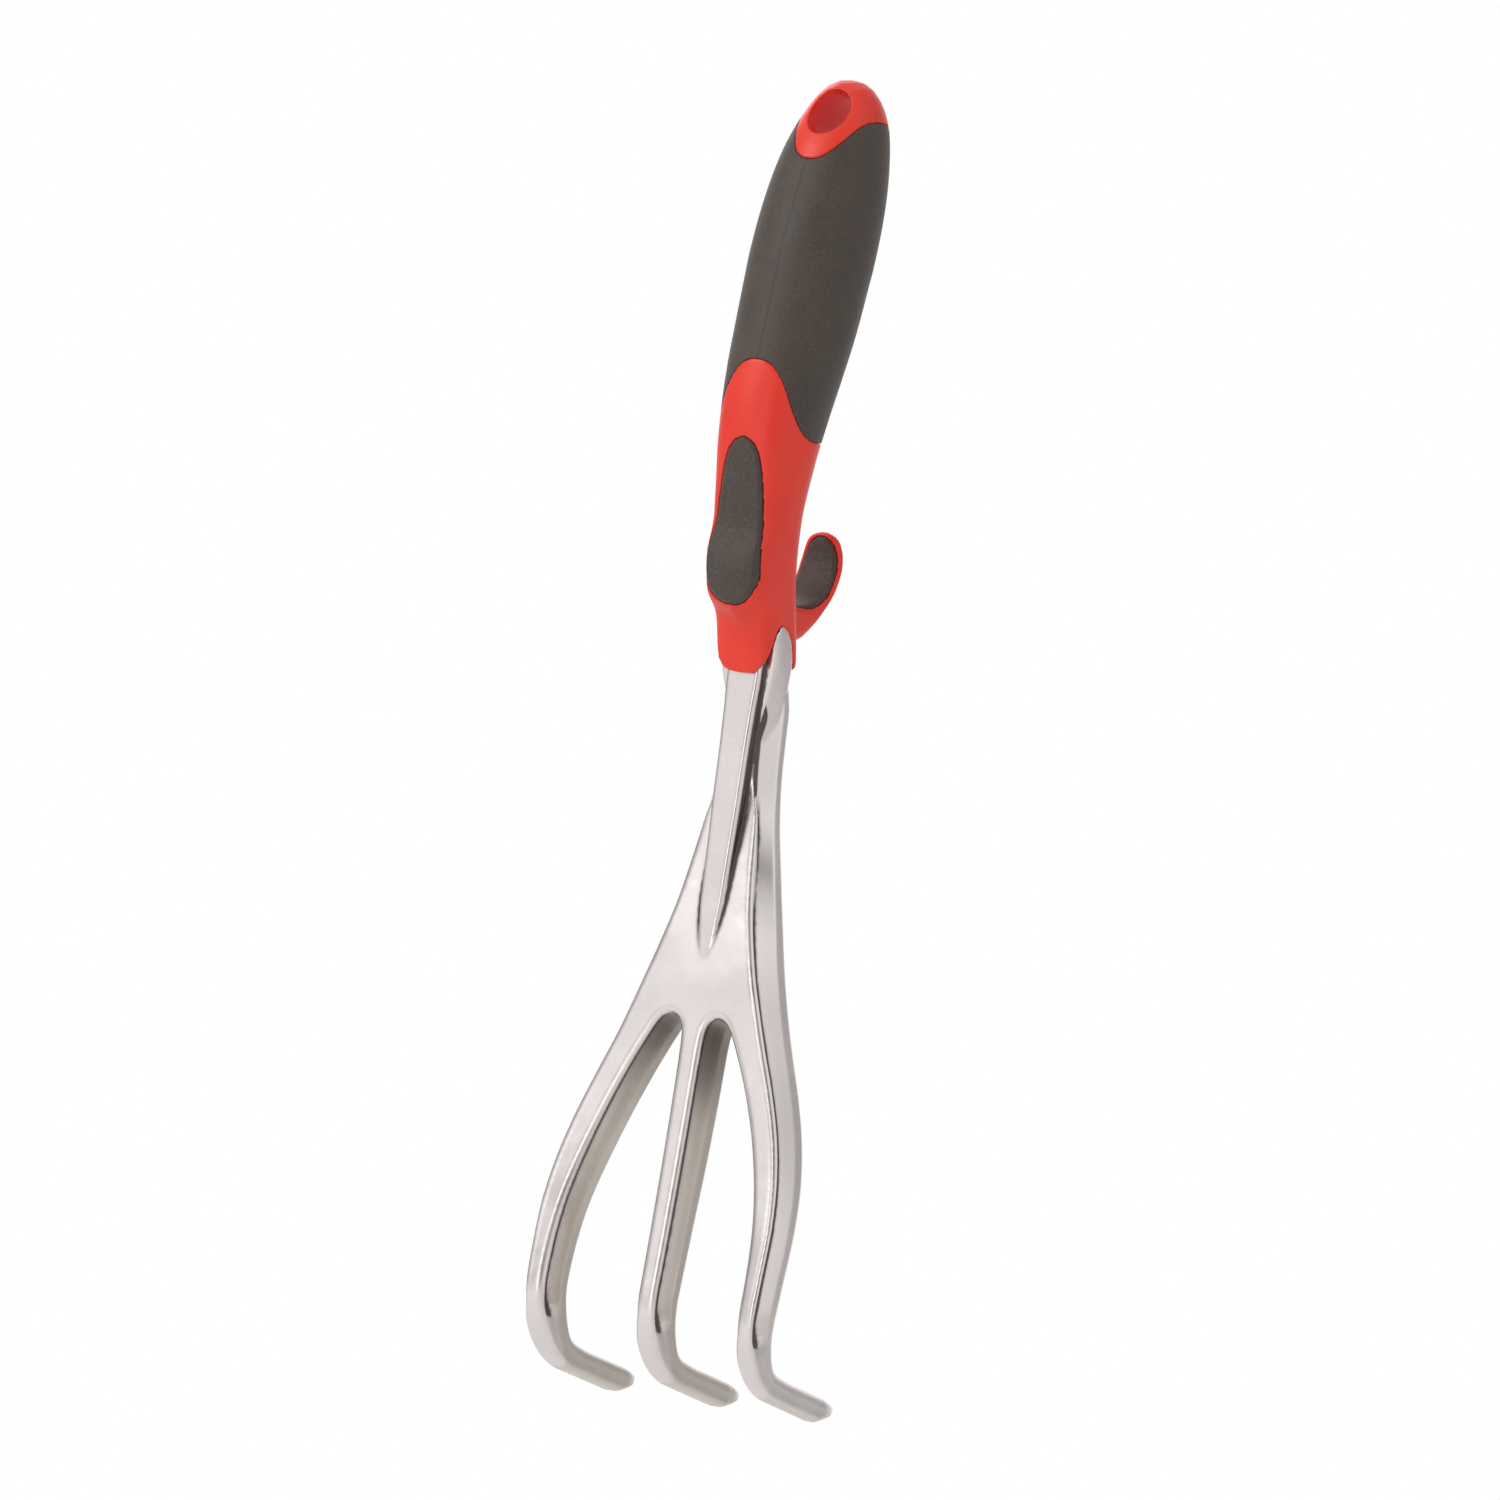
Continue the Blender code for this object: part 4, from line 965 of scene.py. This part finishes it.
class Nodes:
    """A short way to write a node tree."""

    def __init__(self, tree):
        self.tree = tree
        tree.nodes.clear()

    def add(self, kind, inputs=(), **settings):
        """A new node with these inputs and settings."""
        node = self.tree.nodes.new(kind)
        for key, value in settings.items():
            setattr(node, key, value)
        for key, value in dict(inputs).items():
            self.feed(node.inputs[key], value)
        return node

    def feed(self, socket, value):
        """Links another socket to this one, or sets its value."""
        if isinstance(value, bpy.types.NodeSocket):
            self.tree.links.new(value, socket)
        else:
            socket.default_value = value

    def math(self, operation, a, b=0.0):
        return self.add("ShaderNodeMath", {0: a, 1: b}, operation=operation).outputs[0]

    def noise(self, place, scale, detail=3.0, roughness=0.5):
        inputs = {"Vector": place, "Scale": scale, "Detail": detail, "Roughness": roughness}
        return self.add("ShaderNodeTexNoise", inputs).outputs["Fac"]

    def step(self, value, low, high, out_low=0.0, out_high=1.0):
        """A smooth run from out_low at low to out_high at high."""
        inputs = {"Value": value, "From Min": low, "From Max": high, "To Min": out_low, "To Max": out_high}
        return self.add("ShaderNodeMapRange", inputs, interpolation_type="SMOOTHSTEP").outputs[0]

    def mix(self, share, a, b):
        node = self.add("ShaderNodeMix", data_type="RGBA")
        self.feed(node.inputs["Factor"], share)
        self.feed(node.inputs["A"], a)
        self.feed(node.inputs["B"], b)
        return node.outputs["Result"]

    def stretched(self, place, scale):
        return self.add("ShaderNodeMapping", {"Vector": place, "Scale": scale}).outputs[0]

    def bump(self, height, strength, distance, normal=None):
        inputs = {"Height": height, "Strength": strength, "Distance": distance}
        if normal is not None:
            inputs["Normal"] = normal
        return self.add("ShaderNodeBump", inputs).outputs[0]


def start_material(name, **uniform):
    """A material with a Principled shader, whose even values are set on its own sockets."""
    made = bpy.data.materials.new(name)
    made.use_nodes = True
    nodes = Nodes(made.node_tree)
    shader = nodes.add("ShaderNodeBsdfPrincipled")
    for key, value in uniform.items():
        shader.inputs[key.replace("_", " ")].default_value = value
    nodes.add("ShaderNodeOutputMaterial", {"Surface": shader.outputs[0]})
    place = nodes.add("ShaderNodeTexCoord").outputs["Object"]
    return made, nodes, shader, place


def stored(nodes, name):
    """A number that store kept at each vertex."""
    return nodes.add("ShaderNodeAttribute", attribute_name=name).outputs["Fac"]


def cast_metal():
    """Satin-polished cast aluminium: fine lines along the tool, and painted shade, a dark grey, and a
    rougher surface in the grooves.
    """
    made, nodes, shader, place = start_material("satin_aluminium", Metallic=1.0)
    hollow_shade = stored(nodes, "hollow_shade")
    lines = nodes.noise(nodes.stretched(place, (1.0, 1.0, 0.06)), 2600.0, 4.0, 0.6)
    cloud = nodes.noise(place, 60.0, 4.0, 0.6)
    grain = nodes.noise(place, 1500.0, 3.0, 0.6)
    # Painted shade: the metal turns a dark grey in its grooves and on the rib's walls.
    groove = nodes.step(nodes.math("ADD", hollow_shade, nodes.math("MULTIPLY", cloud, 0.12)), 0.10, 0.42)
    polish = nodes.mix(nodes.step(cloud, 0.3, 0.7), *POLISHED)
    bright = nodes.mix(stored(nodes, "sides"), polish, UNPOLISHED)
    colour = nodes.mix(groove, bright, GROOVE_SHADE)
    nodes.feed(shader.inputs["Base Color"], colour)
    polished = nodes.step(cloud, 0.3, 0.75, 0.24, 0.34)
    streaked = nodes.math("ADD", polished, nodes.math("MULTIPLY", nodes.math("SUBTRACT", lines, 0.5), 0.05))
    rough = nodes.math("ADD", streaked, nodes.math("MULTIPLY", groove, 0.2))
    nodes.feed(shader.inputs["Roughness"], rough)
    brushed = nodes.bump(lines, 0.1, 0.00004)
    nodes.feed(shader.inputs["Normal"], nodes.bump(grain, 0.05, 0.00004, brushed))
    return made


def moulded_plastic():
    """Satin red plastic: a faint orange peel, and painted shade that darkens the red in the hollows."""
    made, nodes, shader, place = start_material(
        "red_plastic", Specular_IOR_Level=0.35, Coat_Weight=0.06, Coat_Roughness=0.3, Subsurface_Weight=0.06
    )
    shader.inputs["Subsurface Radius"].default_value = (0.004, 0.0006, 0.0004)
    hollow_shade = stored(nodes, "hollow_shade")
    cloud = nodes.noise(place, 45.0, 3.0)
    peel = nodes.noise(place, 900.0, 2.0)
    red = nodes.mix(nodes.step(cloud, 0.3, 0.7), *RED)
    # Painted shade: the red darkens in the hollows.
    red_with_shade = nodes.mix(nodes.step(hollow_shade, 0.1, 0.7, 0.0, 0.75), red, SHADED_RED)
    nodes.feed(shader.inputs["Base Color"], red_with_shade)
    nodes.feed(shader.inputs["Roughness"], nodes.step(cloud, 0.3, 0.7, 0.34, 0.44))
    nodes.feed(shader.inputs["Normal"], nodes.bump(peel, 0.1, 0.00008))
    return made


def rubber(name, grain_size, grain_depth, parting_line):
    """Soft black rubber with a fine moulded grain, and the mould's parting line where it has one."""
    made, nodes, shader, place = start_material(
        name, Specular_IOR_Level=0.4, Sheen_Weight=0.12, Sheen_Roughness=0.5
    )
    cloud = nodes.noise(place, 70.0, 4.0, 0.6)
    grain = nodes.noise(place, grain_size, 3.0, 0.6)
    dark = nodes.mix(nodes.step(cloud, 0.3, 0.7), *RUBBER)
    speck = nodes.mix(nodes.step(grain, 0.46, 0.66, 0.0, 0.5), dark, RUBBER_SPECK)
    height = grain
    if parting_line:
        split = nodes.add("ShaderNodeSeparateXYZ", {0: place})
        away = nodes.math("ABSOLUTE", split.outputs[0])
        front = nodes.step(split.outputs[1], -0.001, -0.006)
        line = nodes.math("MULTIPLY", nodes.step(away, 0.0006, 0.0001), front)
        speck = nodes.mix(nodes.math("MULTIPLY", line, 0.35), speck, PARTING_LINE)
        height = nodes.math("SUBTRACT", grain, nodes.math("MULTIPLY", line, 0.8))
    nodes.feed(shader.inputs["Base Color"], speck)
    nodes.feed(shader.inputs["Roughness"], nodes.step(cloud, 0.3, 0.7, 0.5, 0.64))
    nodes.feed(shader.inputs["Normal"], nodes.bump(height, 0.6, grain_depth))
    return made


def pale_floor():
    """A matt floor, a little paler in places."""
    made, nodes, shader, place = start_material("pale_floor", Roughness=0.9, Specular_IOR_Level=0.2)
    cloud = nodes.noise(place, 1.5, 3.0)
    nodes.feed(shader.inputs["Base Color"], nodes.mix(cloud, *FLOOR))
    return made


def fine_head(finish):
    """The head with softened edges, its painted shade in the grooves and its unpolished shares."""
    head = build_head(None)
    soften(head, *HEAD_SURFACE)
    points, normals = points_and_normals(head.data)
    channel, sides = side_channels(points, normals)
    # Painted shade in the channels, crotches and on the rib's walls, joined with the hollows' shade.
    painted_groove_shade = np.maximum(channel, rib_wall_shade(points, normals))
    store(head.data, "hollow_shade", np.maximum(hollowness(head.data, HEAD_HOLLOW_ROUNDS), painted_groove_shade))
    store(head.data, "sides", sides)
    take_place(head, "tine_head", finish)


def fine_core(finish):
    """The red moulding with softened edges."""
    core = build_handle(None)
    soften(core, *CORE_SURFACE)
    # Painted shade: marks the hollows where the red is darkened.
    store(core.data, "hollow_shade", hollowness(core.data, CORE_HOLLOW_ROUNDS))
    take_place(core, "handle_core", finish)


def fine_sleeve(finish):
    """The sleeve with rounded lips."""
    round_ = angles()
    upper, lower = cap_edge(round_) - SEAM, throat_edge(round_) + SEAM
    outer = [handle_skin(round_, upper - down, sunk) for down, sunk in LIP_ROUNDING]
    between = bands(upper - LIP_LENGTH, lower + LIP_LENGTH, SLEEVE_OUTER_RINGS)
    outer += [handle_skin(round_, height) for height in between]
    outer += [handle_skin(round_, lower + up, sunk) for up, sunk in LIP_ROUNDING[::-1]]
    within = bands(lower, upper, SLEEVE_INNER_RINGS)
    inner = [handle_skin(round_, height, SLEEVE_THICKNESS) for height in within]
    sleeve = mesh_object("sleeve", *tube_of_rings(outer + inner, loop=True))
    sleeve.data.shade_smooth()
    take_place(sleeve, "grip_sleeve", finish)


def fine_pad(node, shape, finish):
    """A rubber pad with softened edges."""
    pad = mesh_object(node, *shape)
    soften(pad, *PAD_SURFACE)
    take_place(pad, node, finish)


def area_light(name, place, size, energy):
    """A rectangular white light turned to the middle of the tool."""
    data = bpy.data.lights.new(name, "AREA")
    data.shape = "RECTANGLE"
    data.size, data.size_y = size
    data.energy = energy
    light = bpy.data.objects.new(name, data)
    bpy.context.collection.objects.link(light)
    light.location = place
    light.rotation_euler = (Vector(LIGHT_AIM) - Vector(place)).to_track_quat("-Z", "Y").to_euler()


def set_world():
    """A pale studio: white behind, softer grey round the front, for the metal to mirror."""
    world = bpy.data.worlds.new("studio")
    bpy.context.scene.world = world
    world.use_nodes = True
    nodes = Nodes(world.node_tree)
    way = nodes.add("ShaderNodeTexCoord").outputs["Generated"]
    split = nodes.add("ShaderNodeSeparateXYZ", {0: way})
    turn = nodes.math("ARCTAN2", split.outputs[1], split.outputs[0])
    share = nodes.step(turn, -math.pi, math.pi)
    share.node.interpolation_type = "LINEAR"
    ramp = nodes.add("ShaderNodeValToRGB", {"Fac": share})
    ramp.color_ramp.interpolation = "EASE"
    elements = ramp.color_ramp.elements
    for position, _ in STUDIO_RING[1:-1]:
        elements.new(position)
    for element, (_, value) in zip(elements, STUDIO_RING):
        element.color = (value, value, value, 1.0)
    back = nodes.add("ShaderNodeBackground", {"Color": ramp.outputs["Color"], "Strength": 1.0})
    nodes.add("ShaderNodeOutputWorld", {"Surface": back.outputs[0]})


def set_camera():
    """A long lens level with the tool, rolled so that the tool leans."""
    turn, roll = math.radians(CAMERA_AZIMUTH), math.radians(CAMERA_ROLL)
    right = Vector((math.cos(turn), math.sin(turn), 0))
    back = Vector((math.sin(turn), -math.cos(turn), 0))
    aim = right * FRAME_CENTRE[0] + Vector((0, 0, FRAME_CENTRE[1]))
    data = bpy.data.cameras.new("camera")
    data.sensor_width = SENSOR_WIDTH
    data.lens = SENSOR_WIDTH * CAMERA_DISTANCE / FRAME_WIDTH
    data.clip_start, data.clip_end = 0.1, 60.0
    camera = bpy.data.objects.new("camera", data)
    bpy.context.collection.objects.link(camera)
    camera.location = aim + back * CAMERA_DISTANCE
    straight = (-back).to_track_quat("-Z", "Y")
    camera.rotation_euler = (straight @ Quaternion((0, 0, 1), roll)).to_euler()
    bpy.context.scene.camera = camera


def set_stage():
    """The floor below the hanging tool, and the lights."""
    bpy.ops.mesh.primitive_plane_add(size=FLOOR_SIZE, location=(0, 0, FLOOR_HEIGHT))
    floor = bpy.context.active_object
    floor.name = "floor"
    floor.data.materials.append(pale_floor())
    for light in LIGHTS:
        area_light(*light)
    bpy.context.scene.view_settings.view_transform = "Standard"


fine_head(cast_metal())
fine_core(moulded_plastic())
fine_sleeve(rubber("sleeve_rubber", 3000.0, 0.0001, True))
pad_rubber = rubber("pad_rubber", 1900.0, 0.0003, False)
fine_pad("thumb_pad", thumb_pad_shape(PAD_MARGIN, PAD_PROUD, THUMB_PAD_THICKNESS), pad_rubber)
fine_pad("finger_pad", finger_pad_shape(PAD_MARGIN, PAD_PROUD, FINGER_PAD_THICKNESS), pad_rubber)
set_world()
set_stage()
set_camera()
